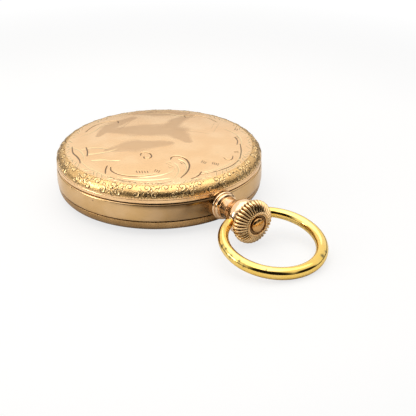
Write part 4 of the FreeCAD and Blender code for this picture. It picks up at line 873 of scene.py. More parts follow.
# ====================================================================== places
@dataclass
class Places:
    """Where things are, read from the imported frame."""

    frame: Mapping[str, Any]
    joints: Dict[str, Mapping[str, Any]] = field(init=False)

    def __post_init__(self) -> None:
        """Reads the joints and the main sizes."""
        self.joints = {j["name"]: j for j in self.frame["joints"]}
        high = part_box("back_cover")[1]
        self.case_radius = high.x / MM
        self.cover_top = high.z / MM
        bow = self.joint("bow_swing")
        self.stem_z = bow[2]
        self.bow_y = bow[1]
        self.back_hinge = self.joint("back_cover_hinge")
        self.bezel_hinge = self.joint("bezel_hinge")
        self.inner_hinge = self.joint("inner_cover_hinge")
        self.cover_low = self.back_hinge[2] + 0.1

    def joint(self, name: str) -> Tuple[float, float, float]:
        """A hinge's point in millimetres."""
        return tuple(v / MM for v in self.joints[name]["pos_m"])

    @staticmethod
    def span(node: str) -> Tuple[Array, Array]:
        """A node's lowest and highest corner in millimetres."""
        low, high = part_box(node)
        return np.array(low) / MM, np.array(high) / MM


def place(thing: bpy.types.Object, body: str, finish: bpy.types.Material, slot: str, *nodes: str) -> None:
    """Gives a piece its finish and its body, and hides the CAD nodes it stands for.

    Args:
        thing: The piece.
        body: The body it rides on.
        finish: Its material.
        slot: Its material slot in the record; not used.
        nodes: The CAD nodes it replaces.
    """
    thing.data.materials.clear()
    thing.data.materials.append(finish)
    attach(thing, body)
    if nodes:
        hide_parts(*nodes)
    LOG.info("%s: %d corners, rides on %s", thing.name, len(thing.data.vertices), body)


@dataclass
class HingeBarrel:
    """A bored barrel of a hinge, along X."""

    name: str
    start: float
    end: float
    y: float
    z: float
    radius: float = 0.72
    bore: float = 0.3

    def build(self) -> bpy.types.Object:
        """Turns the barrel."""
        corners = [
            (self.bore, self.start), (self.radius, self.start),
            (self.radius, self.end), (self.bore, self.end),
        ]
        shape = Turned(ring_outline(corners, 0.1, 0.4), 40, True)
        return welded(self.name, about_x(shape.points(), self.y, self.z), shape.faces())

    @classmethod
    def pair(
        cls, name: str, reach: Point2, at: Tuple[float, float, float], **sizes: float
    ) -> List[bpy.types.Object]:
        """A lid's two barrels, left and right of the middle.

        Args:
            name: Start of both names.
            reach: Where each starts and ends, from the middle.
            at: A point on the hinge's axis.
            sizes: Radius and bore, where they aren't the usual ones.

        Returns:
            The two barrels.
        """
        near, far = reach
        left = cls(f"{name}_left", -far, -near, at[1], at[2], **sizes).build()
        return [left, cls(f"{name}_right", near, far, at[1], at[2], **sizes).build()]


# ====================================================================== the case
@dataclass
class BackCover:
    """The domed back: polished lip, engraved border and a dome with bright-cut scrolls."""

    places: Places
    lip: float = 0.95
    wall: float = 0.5
    ledge: float = 0.68
    shoulder_share: float = 0.909
    shoulder_drop: float = 1.15
    border_repeats: int = 36
    border_segments: int = 1800
    dome_segments: int = 1320
    dome_rings: int = 230
    rim_cuts: int = 96
    dents: int = 9
    seed: int = 11

    def border_outline(self) -> Array:
        """The line from under the lip up to the shoulder."""
        r, z0 = self.places.case_radius, self.places.cover_low
        lip_z = z0 + self.lip
        self.shoulder = (r * self.shoulder_share, self.places.cover_top - self.shoulder_drop)
        mid = (r - 0.55, lip_z + (self.shoulder[1] - lip_z) * 0.62)
        foot = [(r - self.ledge, z0), (r - 0.12, z0), (r, z0 + 0.13), (r, lip_z - 0.1)]
        step = [(r - 0.07, lip_z - 0.03), (r - 0.02, lip_z + 0.06)]
        rise = arc_through((r, lip_z + 0.1), mid, self.shoulder, 44)
        return spaced(fillet(foot, 0.06, 3) + step + rise, 0.09)

    def curl(self, centre: Point2, lean: int, first: float, size: float) -> List[Stroke]:
        """One leafy curl of the border: a raised scroll, the groove round it and leaves along its back.

        Args:
            centre: Middle of the curl on the unrolled border.
            lean: 1 or -1, the way it winds.
            first: Bearing of its mouth.
            size: Outer radius.

        Returns:
            Strokes as (line, half width, depth, dark, pale).
        """
        # The raised scroll and leaves get painted highlight (pale); the grooves beside them get painted shade
        # (dark).
        made = [
            (spiral(centre, size, 0.2 * size, first, 1.25 * lean, 22), 0.15, 0.15, 0.9, 0.0),
            (spiral(centre, 0.80 * size, 0.1, first, 1.2 * lean, 20), 0.19, -0.11, 0.0, 1.0),
        ]
        for n in range(5):
            bearing = first + lean * (0.40 + 0.78 * n)
            root = np.array(centre) + 1.08 * size * np.array([math.cos(bearing), math.sin(bearing)])
            t = np.linspace(0, 1, 6)
            swing = bearing - lean * (0.25 + 0.9 * t)
            reach = (0.95 - 0.07 * n) * size * t
            line = root + np.stack([reach * np.cos(swing), reach * np.sin(swing)], -1)
            aside = 0.24 * np.array([-math.sin(bearing), math.cos(bearing)]) * lean
            made.append((line, 0.18, -0.10, 0.0, 1.0))
            made.append((line + aside, 0.13, 0.14, 0.9, 0.0))
        return made

    def motifs(self, graver: Graver, length: float, top: float) -> None:
        """Covers the border with curls in two staggered rows, and nicks both edges.

        Args:
            graver: Cuts the unrolled border.
            length: Its length round the case.
            top: Its width.
        """
        chance = np.random.default_rng(self.seed)
        pitch = length / self.border_repeats
        made: List[Stroke] = []
        for k in range(self.border_repeats):
            for row in (0, 1):
                wobble = chance.uniform(-1, 1, 4)
                along = pitch * (k + 0.3 + 0.5 * row) + 0.25 * wobble[0]
                centre = (along, top * (0.25 + 0.50 * row + 0.03 * wobble[1]))
                lean = 1 if (k + row) % 2 else -1
                made += self.curl(centre, lean, 1.3 + 2.6 * row + 0.9 * wobble[2], 1.2 + 0.14 * wobble[3])
            # The nicks along both edges get painted shade.
            for n in range(6):
                x = pitch * (k + n / 6)
                upper = np.array([(x, top * 0.99), (x + 0.16, top * 0.945), (x + 0.38, top * 0.92)])
                lower = np.array([(x, 0.04), (x + 0.12, 0.2), (x + 0.34, 0.3)])
                made.append((upper, 0.13, 0.10, 0.8, 0.0))
                made.append((lower, 0.12, 0.08, 0.7, 0.0))
        for line, width, depth, dark, pale in made:
            for shift in (-length, 0.0, length):
                moved = line + np.array([shift, 0.0])
                if moved[:, 0].max() > -1.0 and moved[:, 0].min() < length + 1.0:
                    graver.stroke(moved, width, depth, dark, pale, 0.45)

    def border(self) -> bpy.types.Object:
        """Makes the lip and the border, with the cut work in the mesh."""
        shape = Turned(self.border_outline(), self.border_segments)
        lip_z = self.places.cover_low + self.lip
        start = shape.along[int(np.argmax(shape.outline[:, 1] > lip_z + 0.12))]
        top = shape.along[-1] - start
        radius = self.places.case_radius - 0.8
        around = np.broadcast_to(shape.angle * radius, shape.relief.shape)
        up = np.broadcast_to((shape.along - start)[:, None], shape.relief.shape)
        graver = Graver(np.stack([around, up], -1))
        self.motifs(graver, TAU * radius, top)
        height = graver.height.reshape(shape.relief.shape)
        share = np.clip((up - 0.05) / 0.2, 0, 1) * np.clip((top - up) / 0.12, 0, 1)
        shape.relief = height * share
        points = shape.points()
        points = relieve(points, -CASE_ROOM, CASE_ROOM, *self.places.back_hinge[1:], BARREL_ROOM)
        numbers = {
            "cut": graver.cut.reshape(height.shape) * share,
            "pale": graver.pale.reshape(height.shape) * share,
            "ground": share + 0 * height,
            "cloud": 0 * height,
        }
        return mesh_object("cover_border", points, shape.faces(), numbers)

    def scrolls(self, graver: Graver) -> None:
        """Cuts the scrolls on the dome: long bright-cut sweeps, curls, ticks, a cut rim and a few scratches.

        Args:
            graver: Cuts the dome, seen from above.
        """
        dark = [
            ([(3.9, 10.3), (3.0, 9.5), (1.9, 9.6), (1.0, 10.9), (1.0, 12.9), (2.2, 15.5), (4.5, 17.6),
              (7.2, 18.9)], 0.20),
            ([(16.8, 4.3), (17.8, 6.2), (17.3, 9.0), (15.7, 11.3), (13.6, 13.0), (11.0, 14.0)], 0.17),
            ([(17.0, 3.2), (18.3, 4.5), (19.6, 6.3)], 0.16),
            ([(17.5, -11.8), (19.2, -8.6), (19.7, -5.9), (20.3, -3.8), (21.1, -2.3)], 0.17),
            ([(15.3, -8.9), (16.4, -6.5), (17.9, -4.3)], 0.17),
            ([(8.3, 4.2), (7.4, 3.3), (6.4, 3.6), (6.0, 4.8), (6.5, 6.2), (7.6, 6.8), (8.4, 6.1),
              (8.0, 5.1)], 0.15),
            ([(1.4, 19.2), (3.2, 20.3), (5.6, 20.7)], 0.17),
            ([(-7.3, 16.2), (-7.2, 17.6), (-8.4, 18.0), (-9.9, 16.6)], 0.12),
            ([(-9.6, 19.2), (-6.1, 20.7), (-2.5, 21.0), (0.8, 20.6), (3.4, 19.8)], 0.14),
            ([(-15.6, 12.2), (-13.2, 15.6), (-10.2, 18.8)], 0.13),
            ([(9.4, 19.0), (12.2, 18.4), (14.6, 16.6), (16.8, 14.0), (18.7, 11.1), (20.0, 7.5)], 0.12),
            ([(-17.2, 8.2), (-16.2, 10.4), (-14.6, 12.2)], 0.12),
            ([(-4.4, -20.6), (-9.4, -18.8), (-13.4, -15.6), (-15.8, -12.2)], 0.12),
            ([(10.2, -17.4), (6.4, -19.4), (2.4, -19.6), (0.2, -18.2), (0.9, -16.6)], 0.14),
            ([(-19.6, -2.2), (-19.4, -6.2), (-17.6, -9.6), (-15.6, -10.6), (-14.9, -9.2)], 0.14),
        ]
        pale = [
            ([(20.0, -5.2), (20.9, 0.6), (20.5, 4.3), (19.9, 8.4), (17.6, 12.6)], 0.34),
            ([(16.4, 10.6), (13.8, 13.6), (10.8, 15.2), (7.6, 15.4), (5.2, 14.2)], 0.30),
            ([(18.2, -12.6), (17.4, -9.4), (17.9, -6.2), (19.4, -3.2)], 0.30),
            ([(17.2, -8.4), (14.2, -7.2), (12.6, -5.2), (11.9, -3.6)], 0.34),
            ([(17.8, -5.4), (15.2, -3.6), (12.4, -2.6), (10.4, -2.7)], 0.34),
            ([(18.6, -1.6), (16.4, 0.2), (14.6, 2.4), (13.4, 3.2)], 0.30),
            ([(6.6, 18.4), (3.6, 16.4), (2.2, 13.6), (2.4, 11.2)], 0.36),
            ([(8.8, 18.2), (6.2, 16.6), (4.6, 14.2), (4.2, 12.2)], 0.26),
            ([(-8.8, 18.6), (-5.2, 19.9), (-1.6, 20.2), (1.6, 19.6)], 0.34),
            ([(-11.4, 17.4), (-9.4, 19.4), (-6.2, 21.2), (-2.2, 21.9)], 0.28),
            ([(-14.4, 14.2), (-11.8, 17.2), (-8.6, 19.6)], 0.26),
            ([(12.0, 19.4), (8.6, 20.8), (4.6, 21.5), (1.0, 21.5)], 0.30),
            ([(18.4, 9.8), (15.8, 13.6), (12.6, 16.2), (9.4, 17.6)], 0.24),
            ([(-18.4, 2.6), (-18.6, 6.8), (-17.2, 10.6), (-14.8, 13.4)], 0.24),
            ([(-17.2, -8.2), (-14.2, -11.4), (-12.6, -15.2), (-9.2, -17.6)], 0.22),
            ([(12.4, -15.8), (8.4, -16.2), (5.2, -17.8), (1.6, -17.4)], 0.22),
        ]
        # Bright-cut sweeps get painted highlight, with a cut beside each that gets painted shade.
        for line, width in pale:
            graver.stroke(smooth_line(line), width * 1.15, 0.05, 0.0, 1.0, 0.9)
            graver.stroke(smooth_line(line) + np.array([0.16, 0.10]), 0.10, 0.05, 0.45, 0.0, 0.5)
        # Dark scroll cuts get painted shade.
        for line, width in dark:
            graver.stroke(smooth_line(line), width * 1.3, 0.11, 1.0, 0.0, 0.28)
        ticks = [
            ((13.7, 10.3), (11.3, 12.3), 5), ((9.9, 12.4), (9.3, 13.9), 3), ((5.2, 11.2), (6.1, 13.9), 4),
            ((3.1, 13.2), (1.9, 13.7), 2), ((-1.6, 15.2), (-2.0, 16.7), 3), ((-3.2, 17.2), (-4.1, 18.8), 4),
            ((-12.0, 15.1), (-11.6, 16.0), 2), ((-17.3, 8.2), (-17.0, 9.6), 2),
            ((-20.8, 4.7), (-20.3, 3.7), 2),
        ]
        # Zigzag ticks get painted shade.
        for (x0, y0), (x1, y1), count in ticks:
            across = np.array([-(y1 - y0), x1 - x0]) / math.hypot(x1 - x0, y1 - y0) * 0.55
            parts = 2 * count
            line = [
                np.array([x0 + (x1 - x0) * k / parts, y0 + (y1 - y0) * k / parts]) for k in range(parts + 1)
            ]
            bent = np.array([point + across * (-1 if k % 2 else 1) for k, point in enumerate(line)])
            for k in range(0, len(bent) - 1, 2):
                graver.stroke(bent[k : k + 2], 0.24, 0.09, 1.0, 0.0, 0.4)
        chance = np.random.default_rng(self.seed + 5)
        # Raised rim cuts get painted highlight, with a cut beside each that gets painted shade.
        for k in range(self.rim_cuts):
            at = TAU * (k + 0.3 * chance.uniform()) / self.rim_cuts
            lean, reach = (-1) ** (k // 3), chance.uniform(0.7, 1.5)
            rim = self.shoulder[0] - 0.05
            sweep = [(rim, at), (rim - 0.45 * reach, at + 0.020 * lean), (rim - reach, at + 0.058 * lean)]
            line = np.array([(r * math.cos(a), r * math.sin(a)) for r, a in sweep])
            graver.stroke(smooth_line(line), 0.22, -0.04, 0.0, 1.0, 0.5)
            aside = 0.2 * np.array([-math.sin(at), math.cos(at)])
            graver.stroke(smooth_line(line + aside), 0.11, 0.06, 0.6, 0.0, 0.5)
        scratches = [
            ([(-7.4, -3.6), (-12.9, 3.5)], 0.07), ([(-20.5, -2.0), (-14.2, 3.3)], 0.06),
            ([(-19.7, -2.9), (-15.3, 0.9)], 0.05), ([(3.5, -12.4), (-1.9, -15.3)], 0.10),
        ]
        for line, width in scratches:
            graver.stroke(smooth_line(line), width, 0.02, 0.55, 0.0, 0.5)

    def dome(self) -> bpy.types.Object:
        """Makes the dome with its scrolls."""
        outline = cap_line(*self.shoulder, self.places.cover_top, self.dome_rings)
        shape = Turned(np.array(outline), self.dome_segments)
        flat = shape.points()[..., :2]
        graver = Graver(flat)
        self.scrolls(graver)
        height = graver.height.reshape(shape.relief.shape)
        radius = np.hypot(flat[..., 0], flat[..., 1])
        height = height * np.clip((self.shoulder[0] - radius) / 0.3, 0, 1)
        rng = np.random.default_rng(self.seed + 1)
        for _ in range(self.dents):
            at, size = rng.uniform(-14, 14, 2), rng.uniform(2.5, 6.0)
            away = np.hypot(flat[..., 0] - at[0], flat[..., 1] - at[1])
            height = height - 0.012 * np.exp(-((away / size) ** 2))
        shape.relief = height
        cloud = np.zeros(radius.size)
        for line, widths in (
            ([(12.5, -3.4), (6.0, -1.2), (-1.1, 2.8)], [1.0, 3.4, 1.2]),
            ([(6.4, -14.6), (0.5, -9.0), (-6.4, -3.4), (-5.5, 4.5)], [1.4, 3.6, 3.8, 1.0]),
            ([(-6.8, -20.0), (-11.5, -16.6), (-16.9, -11.8)], [1.2, 2.8, 1.0]),
            ([(-5.8, -4.1), (-11.5, -8.6), (-17.5, -9.9)], [2.4, 1.9, 0.6]),
            ([(9.5, -12.6), (3.6, -16.0), (-4.0, -17.2)], [0.6, 2.2, 1.0]),
        ):
            share = graver.distance(graver.flat, np.array(line), np.array(widths))
            cloud = np.maximum(cloud, np.clip(1.55 - share, 0, 1))
        cloud = cloud.reshape(radius.shape)
        numbers = {
            "cut": graver.cut.reshape(height.shape),
            "pale": graver.pale.reshape(height.shape),
            "ground": np.clip((radius - self.shoulder[0] + 0.25) / 0.2, 0, 1) * 0.5,
            "cloud": cloud,
        }
        return welded("cover_dome", shape.points(), shape.faces(), numbers)

    def lining(self) -> bpy.types.Object:
        """Makes the inside of the cover."""
        r, z0 = self.places.case_radius, self.places.cover_low
        lip_z, top, w = z0 + self.lip, self.places.cover_top, self.wall
        shoulder = (self.shoulder[0] - 0.2, self.shoulder[1] - w)
        mid = (r - 0.55 - 0.62, lip_z + (self.shoulder[1] - lip_z) * 0.62 - 0.15)
        line = cap_line(shoulder[0], shoulder[1], top - w, 40)[::-1]
        line += arc_through(shoulder, mid, (r - w, lip_z - 0.2), 16)
        line += [(r - w, z0 + 0.45), (r - self.ledge, z0 + 0.40), (r - self.ledge, z0)]
        shape = Turned(spaced(line, 0.8), 240)
        return welded("cover_lining", shape.points(), shape.faces())

    def build(self, finishes: Finishes) -> None:
        """Builds and dresses the cover.

        Args:
            finishes: The materials of the watch.
        """
        place(self.border(), "back_cover", finishes.cover, "rose_gold", "back_cover")
        place(self.dome(), "back_cover", finishes.cover, "rose_gold")
        place(self.lining(), "back_cover", finishes.inner, "rose_gold")
        for barrel in HingeBarrel.pair("cover_hinge", LID_BARRELS, self.places.back_hinge):
            place(barrel, "back_cover", finishes.band, "rose_gold")


@dataclass
class CaseBand:
    """The centre ring of the case, with its hinge barrels."""

    places: Places
    wall: float = 1.0
    channel: float = 1.7
    inner: float = 0.7
    bulge: float = 0.1
    flange: float = 0.7
    height: float = 4.4
    lid_gap: float = 0.28

    def build(self, finishes: Finishes) -> None:
        """Builds and dresses the ring.

        Args:
            finishes: The materials of the watch.
        """
        r = self.places.case_radius
        z1 = self.places.cover_low - self.lid_gap
        z0 = z1 - self.height
        plate_top = self.places.span("main_plate")[1][2]
        web0, web1 = plate_top + 0.05, plate_top + 0.55
        outer_in, channel_in = r - self.wall, r - self.wall - self.channel
        inner_in = r - self.wall - self.channel - self.inner
        top_in, low_in = z1 + 0.1, z0 - 0.05
        mid = (z0 + z1) / 2
        face = [
            (r, z0 + 0.25), (r + 0.07, z0 + 0.8), (r + self.bulge, mid), (r + 0.07, z1 - 0.8), (r, z1 - 0.25),
        ]
        corners = [
            (r - 0.25, z0), *face, (r - 0.25, z1), (outer_in, z1), (outer_in, web1), (channel_in, web1),
            (channel_in, top_in), (inner_in, top_in), (inner_in, web1), (inner_in - self.flange, web1),
            (inner_in - self.flange, web0), (inner_in, web0), (inner_in, low_in), (channel_in, low_in),
            (channel_in, web0), (outer_in, web0), (outer_in, z0),
        ]
        shape = Turned(ring_outline(corners, 0.12, 0.4), 720, True)
        points = shape.points()
        for y, z in (self.places.back_hinge[1:], self.places.bezel_hinge[1:]):
            for a, b in ((-LID_ROOM[1], -LID_ROOM[0]), LID_ROOM):
                points = relieve(points, a, b, y, z, BARREL_ROOM)
        ring = welded("case_ring", points, shape.faces())
        place(ring, "case", finishes.band, "rose_gold", "case_center")
        for name, at in (("back", self.places.back_hinge), ("front", self.places.bezel_hinge)):
            barrel = HingeBarrel(f"case_hinge_{name}", -CASE_BARREL, CASE_BARREL, at[1], at[2]).build()
            place(barrel, "case", finishes.band, "rose_gold")
        _, y, z = self.places.inner_hinge
        barrel = HingeBarrel("case_hinge_inner", -1.1, 1.1, y, z, 0.5, 0.25).build()
        place(barrel, "case", finishes.band, "rose_gold")


@dataclass
class Bezel:
    """The front ring, milled round its outer curve, and the crystal it holds."""

    places: Places
    ribs: int = 330
    rib_depth: float = 0.05

    def build(self, finishes: Finishes) -> None:
        """Builds and dresses the ring and the crystal.

        Args:
            finishes: The materials of the watch.
        """
        r = self.places.case_radius
        high = self.places.span("crystal")[1]
        crystal_r, t = high[0], high[2]
        top = self.places.bezel_hinge[2]
        top_z = top - 0.06
        edge_z = top + 0.06 - 2.75
        seat = t - 0.6
        curve = arc_through((r - 0.15, top_z - 0.5), (r - 0.72, edge_z + 0.78), (r - 2.5, edge_z), 26)
        outline = [
            (crystal_r - 0.3, seat - 0.1), (crystal_r - 0.3, edge_z - 0.38), *curve[::-1], (r - 0.15, top_z),
            (r - 1.12, top_z), (r - 1.35, top_z + 0.7), (r - 2.45, top_z + 0.7), (r - 2.45, top_z),
            (crystal_r - 0.3, t + 0.4), (crystal_r - 0.3, t), (crystal_r, t), (crystal_r, seat - 0.1),
        ]
        shape = Turned(ring_outline(outline, 0.08, 0.3, 3), self.ribs * 5, True)
        z = shape.outline[:, 1]
        on_curve = (shape.outline[:, 0] > crystal_r + 1.9) & (z < top_z - 0.55)
        fade = np.where(on_curve, 1.0, 0.0)
        fade = np.convolve(fade, np.ones(5) / 5, "same")
        wave = np.abs(np.cos(shape.angle[None, :] * self.ribs / 2 + shape.along[:, None] * 1.4)) - 1
        shape.relief = self.rib_depth * wave * fade[:, None]
        points = relieve(shape.points(), -CASE_ROOM, CASE_ROOM, *self.places.bezel_hinge[1:], BARREL_ROOM)
        ring = welded("bezel_ring", points, shape.faces())
        place(ring, "bezel", finishes.bezel, "bezel_gold", "bezel")
        for barrel in HingeBarrel.pair("bezel_hinge", LID_BARRELS, self.places.bezel_hinge):
            place(barrel, "bezel", finishes.bezel, "bezel_gold")
        corners = [
            (0, 0), (crystal_r - 2.6, 0), (crystal_r - 0.3, t - 0.75), (crystal_r - 0.3, t - 0.65),
            (crystal_r, t - 0.65), (crystal_r, t), (0, t),
        ]
        glass = Turned(spaced(fillet(corners, 0.08, 3), 2.5), 240)
        crystal = welded("crystal_glass", glass.points(), glass.faces())
        place(crystal, "bezel", finishes.glass, "crystal", "crystal")


@dataclass
class InnerCover:
    """The plain polished dust cover over the movement."""

    places: Places
    wall: float = 0.3
    barrels: Point2 = (1.15, 2.69)

    def build(self, finishes: Finishes) -> None:
        """Builds and dresses the cover.

        Args:
            finishes: The materials of the watch.
        """
        high = self.places.span("inner_cover")[1]
        r, top, w = high[0], high[2], self.wall
        z0 = self.places.inner_hinge[2] - 0.12
        step = top - w - 0.45 - z0
        outer = cap_line(r - 1.6, z0 + w + step, top, 40)[::-1]
        inner = cap_line(r - 1.9, z0 + step, top - w, 40)
        rim = [(r - 1.2, z0 + w), (r, z0 + w), (r, z0), (r - 1.45, z0)]
        line = outer + rim + inner
        shape = Turned(spaced(fillet(line, 0.1, 3)[::-1], 0.8), 360)
        near = self.barrels[0]
        points = relieve(shape.points(), -near, near, *self.places.inner_hinge[1:], 0.6)
        rings = 0.012 * np.exp(-(((np.hypot(points[..., 0], points[..., 1]) - 12.0) / 0.25) ** 2))
        points[..., 2] -= rings
        thing = welded("dust_cover", points, shape.faces())
        place(thing, "inner_cover", finishes.inner, "gilt_inner_case", "inner_cover")
        hinge = self.places.inner_hinge
        for barrel in HingeBarrel.pair("dust_cover_hinge", self.barrels, hinge, radius=0.5, bore=0.27):
            place(barrel, "inner_cover", finishes.inner, "gilt_inner_case")


# ====================================================================== pendant, crown and bow
@dataclass
class Pendant:
    """The stepped collar and the neck that swells into the head."""

    places: Places
    neck_radius: float = 2.55
    collar_radius: float = 3.4
    bore: float = 1.3
    counterbore: float = 2.1
    counterbore_depth: float = 2.6
    head_length: float = 5.4

    def build(self, finishes: Finishes) -> None:
        """Builds and dresses both.

        Args:
            finishes: The materials of the watch.
        """
        high = self.places.span("pendant_neck")[1]
        end, head = high[1], high[0]
        waist = end - self.head_length
        case = self.places.case_radius
        swell = []
        for t in np.linspace(0, 1, 40):
            out = math.sin(min(1.0, t / 0.72) * math.pi / 2) ** 1.35
            taper = 0.42 * max(0.0, (t - 0.8) / 0.2) ** 2
            width = self.neck_radius + (head - self.neck_radius) * out - taper
            swell.append((width, waist + t * self.head_length))
        line = [
            (self.bore, case + 0.3), (self.neck_radius, case + 0.3), (self.neck_radius, waist - 0.5), *swell,
            (self.counterbore, end), (self.counterbore, end - self.counterbore_depth),
            (self.bore, end - self.counterbore_depth),
        ]
        shape = Turned(ring_outline(line, 0.12, 0.25), 180, True)
        points = about_y(shape.points(), self.places.stem_z)
        neck = welded("pendant_tube", points, shape.faces())
        place(neck, "case", finishes.pendant, "rose_gold", "pendant_neck")
        r, hole = self.collar_radius, self.neck_radius + 0.005
        steps = [
            (hole, case - 0.35), (r - 0.1, case - 0.35), (r - 0.1, case + 0.25),
            (r, case + 0.4), (r, case + 0.82),
            (r - 0.2, case + 1.02), (r - 0.44, case + 1.06), (r - 0.46, case + 1.16), (r - 0.3, case + 1.24),
            (r - 0.26, case + 1.45), (r - 0.34, case + 1.66), (r - 0.6, case + 1.84), (hole, case + 1.9),
        ]
        ring = Turned(ring_outline(steps, 0.12, 0.12), 180, True)
        points = about_y(ring.points(), self.places.stem_z)
        reach = np.hypot(points[..., 0], points[..., 1])
        upper, lower = self.places.cover_low - 0.25, self.places.bezel_hinge[2] + 0.03
        keep = np.where((points[..., 2] > upper) | (points[..., 2] < lower), case + 0.16, case + 0.05)
        short = (reach < keep) & (points[..., 1] < case + 1.2)
        against_band = np.sqrt(np.maximum(keep**2 - points[..., 0] ** 2, 1.0))
        points[..., 1] = np.where(short, against_band, points[..., 1])
        collar = welded("pendant_ring", points, ring.faces())
        place(collar, "case", finishes.pendant, "rose_gold", "pendant_collar")


@dataclass
class Crown:
    """The onion crown: rounded flutes down to a grooved ring, and a domed boss in the middle."""

    places: Places
    flutes: int = 36
    depth: float = 0.52
    boss: float = 1.75

    def shell(self) -> bpy.types.Object:
        """Makes the fluted outside."""
        low, high = self.places.span("crown_shell")
        r, y0, y1 = high[0], low[1], high[1]
        onion = [
            (r - 1.35, y0 + 0.02), (r - 0.5, y0 + 0.02), (r - 0.12, y0 + 0.35), (r, y0 + 0.85),
            (r - 0.03, y0 + 1.35), (r - 0.26, y0 + 1.95), (r - 0.78, y0 + 2.45), (r - 1.5, y0 + 2.8),
            (r - 2.15, y0 + 3.0), (self.boss + 0.95, y1),
        ]
        groove_line = [
            onion[-1], (self.boss + 0.62, y1 - 0.05), (self.boss + 0.50, y1 - 0.34),
            (self.boss + 0.05, y1 - 0.36),
        ]
        line = smooth_line(onion, 7)
        rest = np.array(fillet(groove_line, 0.08, 3))[1:]
        shape = Turned(np.vstack([line, rest]), self.flutes * 18)
        along = shape.along / shape.along[len(line) - 1]
        fade = np.clip((along - 0.10) / 0.10, 0, 1) * np.clip((0.985 - along) / 0.07, 0, 1)
        narrow = np.clip(shape.outline[:, 0] / r, 0.3, 1.0)
        wave = np.abs(np.cos(shape.angle * self.flutes / 2))[None, :] ** 0.9 - 1
        shape.relief = self.depth * wave * (fade * narrow)[:, None]
        # Painted shade in the flute valleys and in the groove round the boss; painted highlight on the flute
        # ridges.
        valley_shade = np.clip((-wave - 0.35) / 0.55, 0, 1) * fade[:, None]
        groove = np.clip((self.boss + 0.62 - shape.outline[:, 0]) / 0.1, 0, 1)[:, None]
        ridge_highlight = np.clip((wave + 0.16) / 0.14, 0, 1) * fade[:, None]
        plain = 0 * valley_shade
        numbers = {"cut": np.maximum(valley_shade, groove), "pale": ridge_highlight, "ground": plain, "cloud": plain}
        points = about_y(shape.points(), self.places.stem_z)
        return welded("crown_flutes", points, shape.faces(), numbers)

    def core(self) -> bpy.types.Object:
        """Makes the boss, the back plate and the tube that runs into the pendant."""
        shell_low, shell_high = self.places.span("crown_shell")
        y0, y1, inner = shell_low[1], shell_high[1], shell_high[0] - 1.35
        tube_end, tube_r = self.places.span("pendant_neck")[1][1] - 2.3, 2.0
        b = self.boss
        line = [
            (0.75, tube_end), (tube_r, tube_end), (tube_r, y0), (inner, y0), (inner, y0 + 0.6), (b, y0 + 0.9),
            (b, y1 - 0.18), (b - 0.1, y1 + 0.12), (b - 0.45, y1 + 0.36), (b - 1.0, y1 + 0.5), (0, y1 + 0.56),
        ]
        shape = Turned(spaced(fillet(line, 0.12, 4), 0.2), 120)
        return welded("crown_boss", about_y(shape.points(), self.places.stem_z), shape.faces())

    def build(self, finishes: Finishes) -> None:
        """Builds and dresses the crown.

        Args:
            finishes: The materials of the watch.
        """
        place(self.shell(), "crown", finishes.crown, "rose_gold", "crown_shell")
        place(self.core(), "crown", finishes.boss, "rose_gold", "crown_core")


